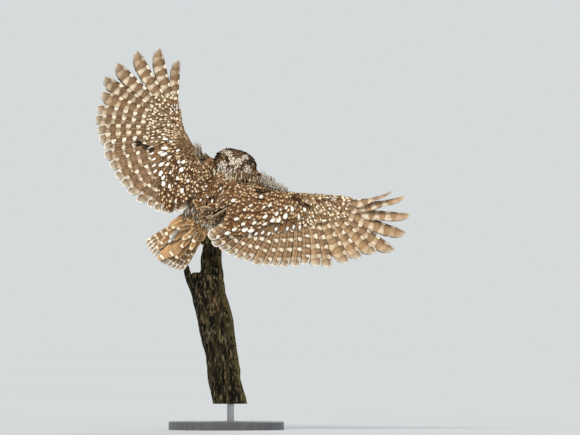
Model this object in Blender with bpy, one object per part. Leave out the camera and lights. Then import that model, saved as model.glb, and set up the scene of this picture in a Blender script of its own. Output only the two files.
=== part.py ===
# A little owl landing on the broken top of a dead forked stick, seen from behind, at life size.
# Lengths are in millimetres and angles in degrees, and each mesh is made in metres.
# X runs to the viewer's right, Y away from the viewer and Z up, from the middle of the base's underside.

import math

import bmesh
import bpy
import numpy as np

MM = 0.001
GAP = 0.3

# The owl's place and the directions of its body: forward runs from the tail to the head
BODY_CENTRE = np.array([-9.0, -18.0, 332.0])
BODY_FORWARD = (0.557, 0.233, 0.797)
BODY_RIGHT = (0.828, -0.227, -0.513)

# Torso: place along the body, half width and half depth, from the vent to the neck
TORSO_RINGS = ((-53, 5, 4), (-49, 13, 11), (-41, 20, 17), (-27, 26, 22), (-10, 29, 25),
               (6, 30, 26.5), (17, 29, 26), (24, 27, 24.5))
TORSO_SIDES = 24

# Head
HEAD_AT = np.array([21.5, 11.0, 44.5])
HEAD_ROLL = 16
HEAD_PITCH = 8
HEAD_HALF_WIDTH = 32
HEAD_HALF_HEIGHT = 22.5
HEAD_BACK = 26
HEAD_FRONT = 21
HEAD_SQUARENESS = 2.35
HEAD_UNDERSIDE = 14.7
NECK_HALF_WIDTH = 21
NECK_HALF_DEPTH = 18.5
EYE_RADIUS = 8.0
EYE_AT = (12.6, 11.4, 2.0)
EYE_SPREAD = 13
LID_RING_RADIUS = 6.6
LID_THICKNESS = 1.7
LID_SIDES = 6
BROW_AT = (12.5, 16.0, 9.6)
NOSTRIL_RADIUS = 0.8

# Wings: span and chord are measured from the shoulder, and lift is the height above the wing's plane
SHOULDER = (24, 24, 10)
WING_SPAN = (0.835, 0.44, -0.33)
PRIMARIES = 10
FLIGHT_FEATHERS = 22
ELBOW_SPAN = 38
WRIST_SPAN = 84
HAND_SPAN = 123
ELBOW_CHORD = 36
WING_CORE = ((-14, 44, 12), (0, 48, 14), (20, 47, 13), (40, 43, 12), (60, 33, 10), (80, 24, 8.5),
             (100, 17, 7), (118, 12, 5.4), (129, 8, 3.6))
WING_CORE_SIDES = 12
WING_ROOT_REACH = 54
VANE_THICKNESS = 0.55
FEATHER_TILT = 10

# A feather tip for each of these flight feathers, counted from the outermost: number, span, chord, lift.
# The shoulder is how far the plumage stands ahead of the leading edge where the wing joins the neck.
WINGS = {
    "right": {
        "side": 1,
        "incidence": 16,
        "root_slant": 18,
        "leading_edge": ((-14, -4), (27, -8.6), (54, -9.3), (82, -10.2), (113, -15), (129, -14)),
        "shoulder": ((-14, 0), (4, 6), (14, 10), (20, 8.5), (26, 3), (36, 0)),
        "tips": ((0, 213, -30, 24), (1, 232, -27, 22), (2, 243, -2, 17), (3, 240, 25, 12), (4, 226, 54, 9),
                 (5, 200, 62, 7), (6, 179, 74, 6), (7, 160, 85, 5), (8, 134, 97, 4), (9, 118, 98, 3),
                 (10, 99, 99, 2), (11, 85, 105, 2), (12, 68, 109, 2), (14, 40, 112, 2), (15, 26, 114, 2),
                 (16, 11, 110, 2), (17, -1, 109, 2), (18, -14, 105, 2), (20, -37, 96, 2), (21, -44, 86, 2)),
        "twist": ((0, 66), (1, 58), (2, 36), (3, 18), (4, 8), (5, 0)),
        "bow": ((0, -0.07), (1, -0.06), (2, -0.03), (4, 0.01), (8, 0.04), (12, 0.03)),
    },
    "left": {
        "side": -1,
        "incidence": 6,
        "root_slant": 36,
        "leading_edge": ((-14, 6), (35, 8.5), (71, 6), (92, 4.5), (122, -4.4), (129, -5)),
        "shoulder": ((-14, 0), (0, 1), (15, 9.5), (27, 14.5), (35, 10.6), (48, 5), (61, 2.3), (75, 0)),
        "tips": ((0, 195, -40, 14), (1, 231, -26, 14), (2, 249, 3, 12), (3, 250, 36, 10), (4, 241, 62, 8),
                 (5, 220, 77, 7), (6, 203, 93, 6), (7, 189, 104, 5), (8, 171, 110, 4), (9, 155, 115, 3),
                 (10, 139, 115, 2), (11, 125, 122, 2), (13, 82, 124, 2), (15, 44, 121, 2), (16, 21, 116, 2),
                 (17, 3, 106, 2), (18, -10, 100, 2), (19, -20, 92, 2), (20, -27, 82, 2), (21, -31, 72, 2)),
        "twist": ((0, 10), (2, 4), (4, 0)),
        "bow": ((0, -0.02), (4, 0.0), (8, 0.03), (12, 0.03)),
    },
}

# Covert tiers: reach is the part of the flight feather beneath that a covert covers
GREATER_REACH = 0.52
MEDIAN_REACH = 0.34
UNDER_REACH = 0.46
SCAPULARS = 5
SCAPULAR_LENGTH = 46

# Tail
TAIL_ROOT = (-4, -43, 3)
TAIL_AXIS = (-0.675, -0.22, -0.70)
TAIL_SIDEWAYS = (0.70, -0.12, -0.70)
TAIL_FEATHERS = 12
# Left side, then right side: the outermost feather's angle and length, and the room between the roots
TAIL_SIDES = ((16, 84, 1.6), (13, 77, 2.5))
TAIL_LENGTH = 86

# Legs, from the middle of the body: hip, ankle and foot
LEGS = {
    "right": {"hip": (1, 5, -22), "ankle": (-3, 4, -45), "foot": (-2.5, 22, -63.5),
              "toes": (8, 52, 128, -172)},
    "left": {"hip": (-20, 11, -11), "ankle": (-24, 4, -43), "foot": (-19.5, 23, -63.5),
             "toes": (-8, -58, -128, 172)},
}
TOE_LENGTH = 17
TOE_RADIUS = 2.5
TOE_SIDES = 7
CLAW_LENGTH = 9
PAD_RADIUS = 4.6
SHANK_SINK = 1.6

# Stick: height above the middle of the body, sideways place and half width of the trunk, then of the prong
STICK_AWAY = 22
TRUNK = ((-66.8, -10.6, 4), (-67.6, -10.6, 9.5), (-71, -10.8, 13.2), (-88, -12.8, 14.6),
         (-105, -12.1, 15.2), (-119, -14.2, 18.6), (-135, -17.4, 24.6), (-152, -12.1, 25.4),
         (-174, -6.4, 25.4), (-199, -3, 24.6), (-226, 1.8, 22.8), (-261, 6.6, 23.4), (-295, 14.9, 24.2))
PRONG = ((-98, -48.6, 3.4), (-100, -48.4, 4.5), (-113, -45.6, 5.2), (-127, -39.6, 6.4), (-141, -32, 8),
         (-158, -22, 9))
TRUNK_BARK = 0.4
PRONG_BARK = 1.7
STICK_SIDES = 20
BARK_DEPTH = 0.9

# Stand
BASE_RADIUS = 82
BASE_HEIGHT = 12
BASE_BEVEL = 1.5
ROD_RADIUS = 5

COLOURS = {
    "plumage": ((0.16, 0.10, 0.06), 0.8),
    "iris": ((0.85, 0.62, 0.08), 0.15),
    "bill": ((0.52, 0.49, 0.26), 0.4),
    "toe": ((0.42, 0.38, 0.30), 0.6),
    "claw": ((0.04, 0.035, 0.03), 0.35),
    "bark": ((0.14, 0.11, 0.08), 0.9),
    "stand": ((0.10, 0.10, 0.11), 0.5),
    "rod": ((0.60, 0.60, 0.62), 0.3),
}


# Vectors and curves

def unit(vector):
    vector = np.asarray(vector, float)
    return vector / np.linalg.norm(vector)


def square_to(vector, axis):
    """The unit vector nearest to this one that is square to the axis."""
    return unit(vector - np.dot(vector, axis) * axis)


FORWARD = unit(BODY_FORWARD)
RIGHT = square_to(np.array(BODY_RIGHT), FORWARD)
DORSAL = np.cross(RIGHT, FORWARD)


def body_point(right, forward, dorsal):
    return BODY_CENTRE + right * RIGHT + forward * FORWARD + dorsal * DORSAL


def turned(vector, axis, degrees):
    """The vector turned about the axis by the right-hand rule."""
    angle = math.radians(degrees)
    across = np.cross(axis, vector)
    along = np.dot(axis, vector) * axis
    return along + (vector - along) * math.cos(angle) + across * math.sin(angle)


def table_at(table, place):
    """The row of a table of numbers, read between its rows by the first column."""
    rows = np.array(table, float)
    return np.array([np.interp(place, rows[:, 0], column) for column in rows.T[1:]])


def bezier(start, middle, end, share):
    return (1 - share) ** 2 * start + 2 * share * (1 - share) * middle + share ** 2 * end


def bezier_heading(start, middle, end, share):
    return unit((1 - share) * (middle - start) + share * (end - middle))


def smooth_step(low, high, value):
    share = min(1.0, max(0.0, (value - low) / (high - low)))
    return share * share * (3 - 2 * share)


# Closed surfaces

def loft(rings, start_tip=None, end_tip=None):
    """One closed surface through rings of points, each end closed by a fan to its tip or its middle."""
    rings = [np.asarray(ring, float) for ring in rings]
    count = len(rings[0])
    tips = [rings[0].mean(axis=0) if start_tip is None else start_tip,
            rings[-1].mean(axis=0) if end_tip is None else end_tip]
    points = np.vstack(rings + [np.array(tips)])
    start, end = len(points) - 2, len(points) - 1
    triangles = []
    for row in range(len(rings) - 1):
        for column in range(count):
            beside = (column + 1) % count
            a, b = row * count + column, row * count + beside
            c, d = a + count, b + count
            triangles += [(a, b, d), (a, d, c)]
    last = (len(rings) - 1) * count
    for column in range(count):
        beside = (column + 1) % count
        triangles.append((start, beside, column))
        triangles.append((end, last + column, last + beside))
    return points, triangles


def ring_of(middle, wide, deep, sides, squareness=2.0):
    """Points round a superellipse with these two half axes."""
    points = []
    for step in range(sides):
        angle = 2 * math.pi * step / sides
        x, y = math.cos(angle), math.sin(angle)
        power = 2 / squareness
        points.append(middle + wide * math.copysign(abs(x) ** power, x)
                      + deep * math.copysign(abs(y) ** power, y))
    return np.array(points)


def limb(path, radii, sides, flat=1.0):
    """A tapering round tube along a path, with flat ends."""
    path = [np.asarray(point, float) for point in path]
    side = None
    rings = []
    for index, (point, radius) in enumerate(zip(path, radii)):
        before = path[max(index - 1, 0)]
        after = path[min(index + 1, len(path) - 1)]
        heading = unit(after - before)
        guess = side if side is not None else np.array([0.31, -0.95, 0.05])
        side = square_to(guess, heading)
        rings.append(ring_of(point, side * radius, np.cross(heading, side) * radius * flat, sides))
    return loft(rings)


def ball(middle, radius, sides=14, rows=9):
    rings = []
    for row in range(1, rows):
        angle = math.pi * row / rows
        rings.append(ring_of(middle - np.array([0, 0, radius * math.cos(angle)]),
                             np.array([radius * math.sin(angle), 0, 0]),
                             np.array([0, radius * math.sin(angle), 0]), sides))
    return loft(rings, middle - np.array([0, 0, radius]), middle + np.array([0, 0, radius]))


def vane(root, middle, tip, normal, lead, widths, tilts):
    """A feather's flat blade along a curved line.

    widths holds, for each station, its place along the shaft and the breadth of the outer and inner web;
    tilts gives how far the outer web is raised there. Both faces are split into triangles alike.
    """
    tops, bottoms = [], []
    for (share, outer, inner), tilt in zip(widths, tilts):
        point = bezier(root, middle, tip, share)
        heading = bezier_heading(root, middle, tip, share)
        across = square_to(lead, heading)
        upward = square_to(normal - np.dot(normal, across) * across, heading)
        angle = math.radians(tilt)
        outward = across * math.cos(angle) + upward * math.sin(angle)
        up = upward * math.cos(angle) - across * math.sin(angle)
        half = up * VANE_THICKNESS / 2
        for face, height in ((tops, half), (bottoms, -half)):
            face += [point + outward * outer + height, point - outward * inner + height]
    rows = len(widths)
    below = len(tops)
    triangles = []
    for row in range(rows - 1):
        a = 2 * row
        b, c, d = a + 1, a + 3, a + 2
        triangles += [(a, c, b), (a, d, c)]
        triangles += [(below + a, below + b, below + c), (below + a, below + c, below + d)]
        triangles += [(a, below + d, d), (a, below + a, below + d)]
        triangles += [(b, c, below + c), (b, below + c, below + b)]
    last = below - 2
    triangles += [(0, 1, below + 1), (0, below + 1, below)]
    triangles += [(last, below + last + 1, last + 1), (last, below + last, below + last + 1)]
    return np.array(tops + bottoms), triangles


# Blender objects

def material_of(kind):
    found = bpy.data.materials.get(kind)
    if found:
        return found
    colour, roughness = COLOURS[kind]
    made = bpy.data.materials.new(kind)
    made.use_nodes = True
    shader = made.node_tree.nodes["Principled BSDF"]
    shader.inputs["Base Color"].default_value = (*colour, 1)
    shader.inputs["Roughness"].default_value = roughness
    shader.inputs["Metallic"].default_value = 0.9 if kind == "rod" else 0.0
    return made


def solid(name, shape, kind="plumage"):
    points, triangles = shape
    mesh = bpy.data.meshes.new(name)
    mesh.from_pydata([tuple(point) for point in np.asarray(points) * MM], [], triangles)
    work = bmesh.new()
    work.from_mesh(mesh)
    if work.calc_volume(signed=True) < 0:
        bmesh.ops.reverse_faces(work, faces=work.faces)
    work.to_mesh(mesh)
    work.free()
    made = bpy.data.objects.new(name, mesh)
    made.data.materials.append(material_of(kind))
    bpy.context.scene.collection.objects.link(made)
    return made


def keep_largest(thing):
    """Leaves only the closed surface of the greatest volume."""
    work = bmesh.new()
    work.from_mesh(thing.data)
    unseen = set(work.faces)
    shells = []
    while unseen:
        shell, front = [], [unseen.pop()]
        while front:
            face = front.pop()
            shell.append(face)
            for edge in face.edges:
                for other in edge.link_faces:
                    if other in unseen:
                        unseen.remove(other)
                        front.append(other)
        shells.append(shell)
    if len(shells) > 1:
        def volume(shell):
            total = 0.0
            for face in shell:
                first = face.verts[0].co
                for index in range(1, len(face.verts) - 1):
                    total += first.dot(face.verts[index].co.cross(face.verts[index + 1].co))
            return abs(total)
        largest = max(shells, key=volume)
        spare = [face for shell in shells if shell is not largest for face in shell]
        bmesh.ops.delete(work, geom=spare, context="FACES")
        loose = [vertex for vertex in work.verts if not vertex.link_faces]
        bmesh.ops.delete(work, geom=loose, context="VERTS")
    bmesh.ops.triangulate(work, faces=work.faces)
    work.to_mesh(thing.data)
    work.free()


def combine(thing, others, operation, solver="EXACT"):
    """One Boolean of the thing with a collection of closed meshes, which are then removed."""
    group = bpy.data.collections.new("pieces")
    for other in others:
        group.objects.link(other)
        bpy.context.scene.collection.objects.unlink(other)
    bpy.context.scene.collection.children.link(group)
    step = thing.modifiers.new("join", "BOOLEAN")
    step.operation = operation
    step.operand_type = "COLLECTION"
    step.collection = group
    step.solver = solver
    bpy.context.view_layer.update()
    evaluated = thing.evaluated_get(bpy.context.evaluated_depsgraph_get())
    result = bpy.data.meshes.new_from_object(evaluated)
    thing.modifiers.clear()
    thing.data = result
    for other in others:
        bpy.data.objects.remove(other)
    bpy.data.collections.remove(group)
    keep_largest(thing)
    return thing


def union(thing, others):
    return combine(thing, others, "UNION", "EXACT")


def carve(thing, others):
    return combine(thing, others, "DIFFERENCE", "EXACT")


# Torso and neck

def torso_shape(grow=0.0):
    rings = []
    for forward, wide, deep in TORSO_RINGS:
        rings.append(ring_of(body_point(0, forward, 0), RIGHT * (wide + grow), DORSAL * (deep + grow),
                             TORSO_SIDES, 2.1))
    first = body_point(0, TORSO_RINGS[0][0] - 1 - grow, 0)
    last = body_point(0, TORSO_RINGS[-1][0] + grow, 0)
    rings[-1] = rings[-1] + FORWARD * grow
    return loft(rings, first, last)


def head_axes():
    level_right = np.array([math.cos(math.radians(HEAD_ROLL)), 0, -math.sin(math.radians(HEAD_ROLL))])
    forward = turned(np.array([0.0, 1.0, 0.0]), level_right, -HEAD_PITCH)
    return level_right, forward, np.cross(level_right, forward)


HEAD_RIGHT, HEAD_FORWARD, HEAD_UP = head_axes()


def head_point(right, forward, up):
    return BODY_CENTRE + HEAD_AT + right * HEAD_RIGHT + forward * HEAD_FORWARD + up * HEAD_UP


def neck_shape(grow=0.0):
    _, wide, deep = TORSO_RINGS[-1]
    low = ring_of(body_point(0, TORSO_RINGS[-1][0] + GAP - grow, 0), RIGHT * (wide + grow),
                  DORSAL * (deep + grow), TORSO_SIDES, 2.1)
    high = ring_of(head_point(0, -1, -HEAD_UNDERSIDE - GAP + grow), HEAD_RIGHT * (NECK_HALF_WIDTH + grow),
                   -HEAD_FORWARD * (NECK_HALF_DEPTH + grow), TORSO_SIDES)
    between = (low + high) / 2
    outward = between - between.mean(axis=0)
    return loft([low, between + outward * 0.03, high])


# Head

def face_relief(x, z):
    """How far the face stands out: a hollow disc round each eye, a ridge between them and a rim outside."""
    hollow = sum(math.exp(-((x - side * 12.5) ** 2 + (z - 1) ** 2) / 110) for side in (-1, 1))
    ridge = math.exp(-(x / 4.2) ** 2) * smooth_step(-15, -3, z)
    rim = math.exp(-((math.hypot(x / 27, z / 19) - 0.96) / 0.1) ** 2)
    return -2.6 * hollow + 2.2 * ridge + 1.3 * rim


def head_shape():
    """A broad, low-crowned dome with a flattened face, as rings round the line that points forward."""
    sides, rows = 26, 16
    rings = []
    for row in range(1, rows):
        angle = math.pi * row / rows
        ring = []
        for step in range(sides):
            turn = 2 * math.pi * step / sides
            x = math.sin(angle) * math.cos(turn)
            z = math.sin(angle) * math.sin(turn)
            y = -math.cos(angle)
            length = HEAD_FRONT if y > 0 else HEAD_BACK
            scale = (abs(x / HEAD_HALF_WIDTH) ** HEAD_SQUARENESS + abs(y / length) ** HEAD_SQUARENESS
                     + abs(z / HEAD_HALF_HEIGHT) ** HEAD_SQUARENESS) ** (-1 / HEAD_SQUARENESS)
            x, y, z = x * scale, y * scale, z * scale
            if y > 0:
                y += face_relief(x, z) * smooth_step(2, 10, y)
            ring.append(head_point(x, y, max(z, -HEAD_UNDERSIDE)))
        rings.append(ring)
    return loft(rings, head_point(0, -HEAD_BACK, 0), head_point(0, HEAD_FRONT - 0.8, 0))


def eye_axis(side):
    return turned(HEAD_FORWARD, HEAD_UP, -side * EYE_SPREAD)


def eye_middle(side):
    return head_point(side * EYE_AT[0], EYE_AT[1], EYE_AT[2])


def lid_shape(side):
    """The ring of the two lids, which hugs the front of the eye and comes lower above it."""
    axis = eye_axis(side)
    middle = eye_middle(side) + axis * 4.4
    outward = square_to(HEAD_RIGHT * side, axis)
    upward = np.cross(axis, outward)
    if np.dot(upward, HEAD_UP) < 0:
        upward = -upward
    rings = []
    steps = 16
    for step in range(steps):
        angle = 2 * math.pi * step / steps
        arm = outward * math.cos(angle) + upward * math.sin(angle)
        thick = LID_THICKNESS * (1.15 if math.sin(angle) > 0.3 else 0.95)
        reach = LID_RING_RADIUS - 0.5 * max(0.0, math.sin(angle))
        rings.append(ring_of(middle + arm * reach, arm * thick, axis * thick, LID_SIDES))
    points = np.vstack(rings)
    triangles = []
    for row in range(steps):
        after = (row + 1) % steps
        for column in range(LID_SIDES):
            beside = (column + 1) % LID_SIDES
            a, b = row * LID_SIDES + column, row * LID_SIDES + beside
            c, d = after * LID_SIDES + column, after * LID_SIDES + beside
            triangles += [(a, b, d), (a, d, c)]
    return points, triangles


def brow_shape(side):
    """The heavy feathered brow that slopes down from above the eye to the bill."""
    start = head_point(side * 2.2, 18.2, 3.6)
    middle = head_point(side * BROW_AT[0], BROW_AT[1], BROW_AT[2])
    end = head_point(side * 22, 9.5, 8.5)
    path = [bezier(start, middle * 2 - (start + end) / 2, end, share) for share in (0, 0.25, 0.5, 0.75, 1)]
    return limb(path, (1.4, 2.6, 3.2, 2.8, 1.6), 7)


BILL_TOP = ((13, -0.4, 4.6, 4.4), (17, -0.6, 4.8, 4.6), (20.5, -1.6, 4.4, 4.2), (23.4, -3.8, 3.4, 3.6),
            (25.2, -6.8, 2.3, 2.9), (25.7, -9.8, 1.3, 1.9), (25.2, -12.4, 0.5, 0.6))
BILL_BOTTOM = ((13, -7.6, 3.4, 1.6), (18, -7.9, 3.2, 1.6), (21.4, -8.7, 2.2, 1.3), (23.2, -9.8, 0.9, 0.7))


BILL_SIDES = 10


def bill_shape(stations, grow=0.0):
    rings = []
    for index, (forward, up, wide, deep) in enumerate(stations):
        before = stations[max(index - 1, 0)]
        after = stations[min(index + 1, len(stations) - 1)]
        along = unit((after[0] - before[0]) * HEAD_FORWARD + (after[1] - before[1]) * HEAD_UP)
        across = np.cross(along, HEAD_RIGHT)
        middle = head_point(0, forward, up)
        rings.append(ring_of(middle, HEAD_RIGHT * (wide + grow), across * (deep + grow), BILL_SIDES))
    return loft(rings)


def mouth_slit(side):
    """The thin cut of the gape, which runs back from the corner of the bill."""
    corner = head_point(side * 5.2, 18.6, -5.7)
    path = [head_point(side * 3.2, 21.5, -5.9), corner, head_point(side * 8.4, 15.5, -6.3)]
    return limb(path, (1.9, 1.9, 1.2), 8, 0.22)


def make_head():
    head = solid("head", head_shape())
    pieces = []
    for side in (-1, 1):
        pieces.append(solid("lid", lid_shape(side)))
        pieces.append(solid("brow", brow_shape(side)))
    union(head, pieces)
    cuts = [solid("cut", ball(eye_middle(side), EYE_RADIUS + GAP)) for side in (-1, 1)]
    cuts += [solid("cut", mouth_slit(side)) for side in (-1, 1)]
    cuts.append(solid("cut", bill_shape(BILL_TOP, GAP)))
    cuts.append(solid("cut", bill_shape(BILL_BOTTOM, GAP)))
    carve(head, cuts)
    for name, side in (("left", -1), ("right", 1)):
        solid(f"eye_{name}", ball(eye_middle(side), EYE_RADIUS), "iris")
    upper = solid("bill_upper", bill_shape(BILL_TOP), "bill")
    nostrils = []
    for side in (-1, 1):
        path = [head_point(side * 6.5, 20.4, 0.6), head_point(side * 3.2, 20.2, 0.1)]
        nostrils.append(solid("cut", limb(path, (NOSTRIL_RADIUS, NOSTRIL_RADIUS), 8)))
    nostrils.append(solid("cut", bill_shape(BILL_BOTTOM, GAP)))
    carve(upper, nostrils)
    solid("bill_lower", bill_shape(BILL_BOTTOM), "bill")


# Wings

class Wing:
    def __init__(self, name):
        shape = WINGS[name]
        self.side = shape["side"]
        self.shape = shape
        out, ahead, up = WING_SPAN
        self.span = unit(self.side * out * RIGHT + ahead * FORWARD + up * DORSAL)
        level = square_to(-FORWARD, self.span)
        upward = np.cross(self.span, -level) * self.side
        tilt = math.radians(shape["incidence"])
        self.chord = level * math.cos(tilt) + upward * math.sin(tilt)
        self.normal = upward * math.cos(tilt) - level * math.sin(tilt)
        right, forward, dorsal = SHOULDER
        self.shoulder = body_point(self.side * right, forward, dorsal)

    def point(self, span, chord, lift=0.0):
        return self.shoulder + span * self.span + chord * self.chord + lift * self.normal

    def edge(self, span):
        return table_at(self.shape["leading_edge"], span)[0]

    def root(self, number):
        """Where a flight feather leaves the bone: along the hand, along the forearm or by the elbow."""
        if number < PRIMARIES:
            share = number / (PRIMARIES - 1)
            span = HAND_SPAN + (WRIST_SPAN + 3 - HAND_SPAN) * share
            return span, self.edge(span) + 6.5 + 3 * share
        share = (number - PRIMARIES) / (FLIGHT_FEATHERS - PRIMARIES - 1)
        span = WRIST_SPAN - 3 + (ELBOW_SPAN - 18 - WRIST_SPAN) * share
        return span, self.edge(span) + 11 + (ELBOW_CHORD - 11) * min(1.0, share * 1.35)

    def tip(self, number):
        return table_at(self.shape["tips"], number)

    def twist(self, number):
        return table_at(self.shape["twist"], number)[0]

    def lead(self, heading):
        return self.side * np.cross(self.normal, heading)


def wing_core(wing):
    """The flesh of the wing, whose inner end slants back along the torso."""
    rings = []
    spans = sorted({row[0] for row in WING_CORE} | {row[0] for row in wing.shape["shoulder"]})
    for span in spans:
        chord, thick = table_at(WING_CORE, span)
        ahead = table_at(wing.shape["shoulder"], span)[0]
        start = wing.edge(span) - ahead
        chord += ahead
        slant = wing.shape["root_slant"] * max(0.0, 1 - (span - WING_CORE[0][0]) / WING_ROOT_REACH)
        ring = []
        for step in range(WING_CORE_SIDES):
            angle = 2 * math.pi * step / WING_CORE_SIDES
            back = (1 - math.cos(angle)) / 2
            height = math.sin(angle) * thick / 2 * (1.12 - 0.5 * back)
            ring.append(wing.point(span - slant * back, start + chord * back,
                                   height + 0.8 * math.sin(math.pi * back)))
        rings.append(ring)
    return loft(rings)


FLIGHT_STATIONS = (0, 0.17, 0.36, 0.8, 0.94, 1)


def flight_widths(number):
    """The breadth of the two webs of a flight feather along its shaft; the outer ones taper to their tips."""
    if number < PRIMARIES:
        share = number / (PRIMARIES - 1)
        outer, inner = 2.8 + 4.2 * share, (10.5 if number == 0 else 13.5 + 2.5 * share)
        near_tip, end = 0.66 + 0.18 * share, 0.14 + 0.2 * share
    else:
        share = (number - PRIMARIES) / (FLIGHT_FEATHERS - PRIMARIES - 1)
        outer, inner = 8.5 - share, 15 - 3 * share
        near_tip, end = 0.84, 0.5
    outer_swell = (0.16, 0.3, 0.8, 1, 0.95, max(end, 0.35))
    inner_swell = (0.16, 0.3, 0.8, 1, near_tip, end)
    return [(place, max(1.2, outer * outer_part), max(1.2, inner * inner_part))
            for place, outer_part, inner_part in zip(FLIGHT_STATIONS, outer_swell, inner_swell)]


def flight_feather(wing, number):
    root_span, root_chord = wing.root(number)
    tip_span, tip_chord, lift = wing.tip(number)
    root = wing.point(root_span, root_chord)
    tip = wing.point(tip_span, tip_chord, lift)
    bow = np.linalg.norm(tip - root) * 2 * table_at(wing.shape["bow"], number)[0]
    lead = wing.lead(unit(tip - root))
    middle = (root + tip) / 2 + lead * bow + wing.normal * (2.5 - lift * 0.42)
    widths = flight_widths(number)
    tilts = [FEATHER_TILT + 3 - 6 * place - wing.twist(number) * smooth_step(0.3, 0.75, place)
             for place, _, _ in widths]
    return vane(root, middle, tip, wing.normal, lead, widths, tilts)


def covert(wing, number, start, reach, lift, outer, inner):
    """A shorter feather over or under the flight feather of the same number."""
    root_span, root_chord = wing.root(number)
    tip_span, tip_chord, tip_lift = wing.tip(number)
    begin_span = root_span + (tip_span - root_span) * start
    begin_chord = root_chord + (tip_chord - root_chord) * start
    edge_chord = wing.edge(begin_span)
    begin_chord = max(begin_chord, edge_chord + 3)
    end_span = root_span + (tip_span - root_span) * reach
    end_chord = root_chord + (tip_chord - root_chord) * reach
    root = wing.point(begin_span, begin_chord, lift * 0.45)
    tip = wing.point(end_span, end_chord, lift + tip_lift * reach * reach)
    middle = (root + tip) / 2 + wing.normal * lift * 0.55
    lead = wing.lead(unit(tip - root))
    widths = [(0, outer * 0.3, inner * 0.3), (0.35, outer * 0.85, inner * 0.85),
              (0.85, outer, inner), (1, outer * 0.42, inner * 0.42)]
    tilts = [FEATHER_TILT - 1] * len(widths)
    return vane(root, middle, tip, wing.normal, lead, widths, tilts)


def alula(wing, step):
    root_span = WRIST_SPAN + 2
    edge = wing.edge(root_span)
    root = wing.point(root_span, edge + 4 + step * 0.6, 1.5)
    length = 52 - 9 * step
    end_span = root_span + length
    tip = wing.point(end_span, wing.edge(end_span) + 1 + step * 5, 3.6 + step * 1.1)
    middle = (root + tip) / 2 + wing.normal * 1.5
    lead = wing.lead(unit(tip - root))
    widths = [(0, 1.2, 1.2), (0.3, 3, 4.4), (0.85, 3, 5), (1, 1, 1.6)]
    return vane(root, middle, tip, wing.normal, lead, widths, [FEATHER_TILT] * len(widths))


def scapular(wing, step):
    """A feather that lies back along the flank from the top of the shoulder."""
    root_span = 16 - 5 * step
    root_chord = wing.edge(root_span) + 16 + 2.5 * step
    length = SCAPULAR_LENGTH - 2 * step
    root = wing.point(root_span, root_chord, 3.0)
    tip = wing.point(root_span - 0.4 * length, root_chord + 0.9 * length, 7.5 + 0.5 * step)
    middle = (root + tip) / 2 + wing.normal * 3.5
    lead = wing.lead(unit(tip - root))
    widths = [(0, 2.5, 2.5), (0.35, 6, 6), (0.85, 6.5, 6.5), (1, 3, 3)]
    return vane(root, middle, tip, wing.normal, lead, widths, [FEATHER_TILT] * len(widths))


def make_wing(name):
    wing = Wing(name)
    made = solid(f"wing_{name}", wing_core(wing))
    pieces = []
    for number in range(FLIGHT_FEATHERS):
        pieces.append(solid("flight", flight_feather(wing, number)))
    for number in range(1, FLIGHT_FEATHERS - 1):
        hand = number < PRIMARIES
        outer, inner = (4.2, 6.4) if hand else (5.0, 7.4)
        pieces.append(solid("greater", covert(wing, number, 0, GREATER_REACH if not hand else 0.42, 3.2,
                                              outer, inner)))
    for number in range(PRIMARIES, FLIGHT_FEATHERS):
        pieces.append(solid("median", covert(wing, number, -0.16, MEDIAN_REACH, 5.8, 5.0, 7.4)))
    for number in range(1, FLIGHT_FEATHERS - 1, 2):
        reach = UNDER_REACH if number >= PRIMARIES else 0.36
        pieces.append(solid("under", covert(wing, number, 0, reach, -3.0, 9.0, 9.0)))
    pieces += [solid("alula", alula(wing, step)) for step in range(3)]
    pieces += [solid("scapular", scapular(wing, step)) for step in range(SCAPULARS)]
    union(made, pieces)
    carve(made, [solid("cut", torso_shape(GAP)), solid("cut", neck_shape(GAP))])


# Tail

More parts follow.
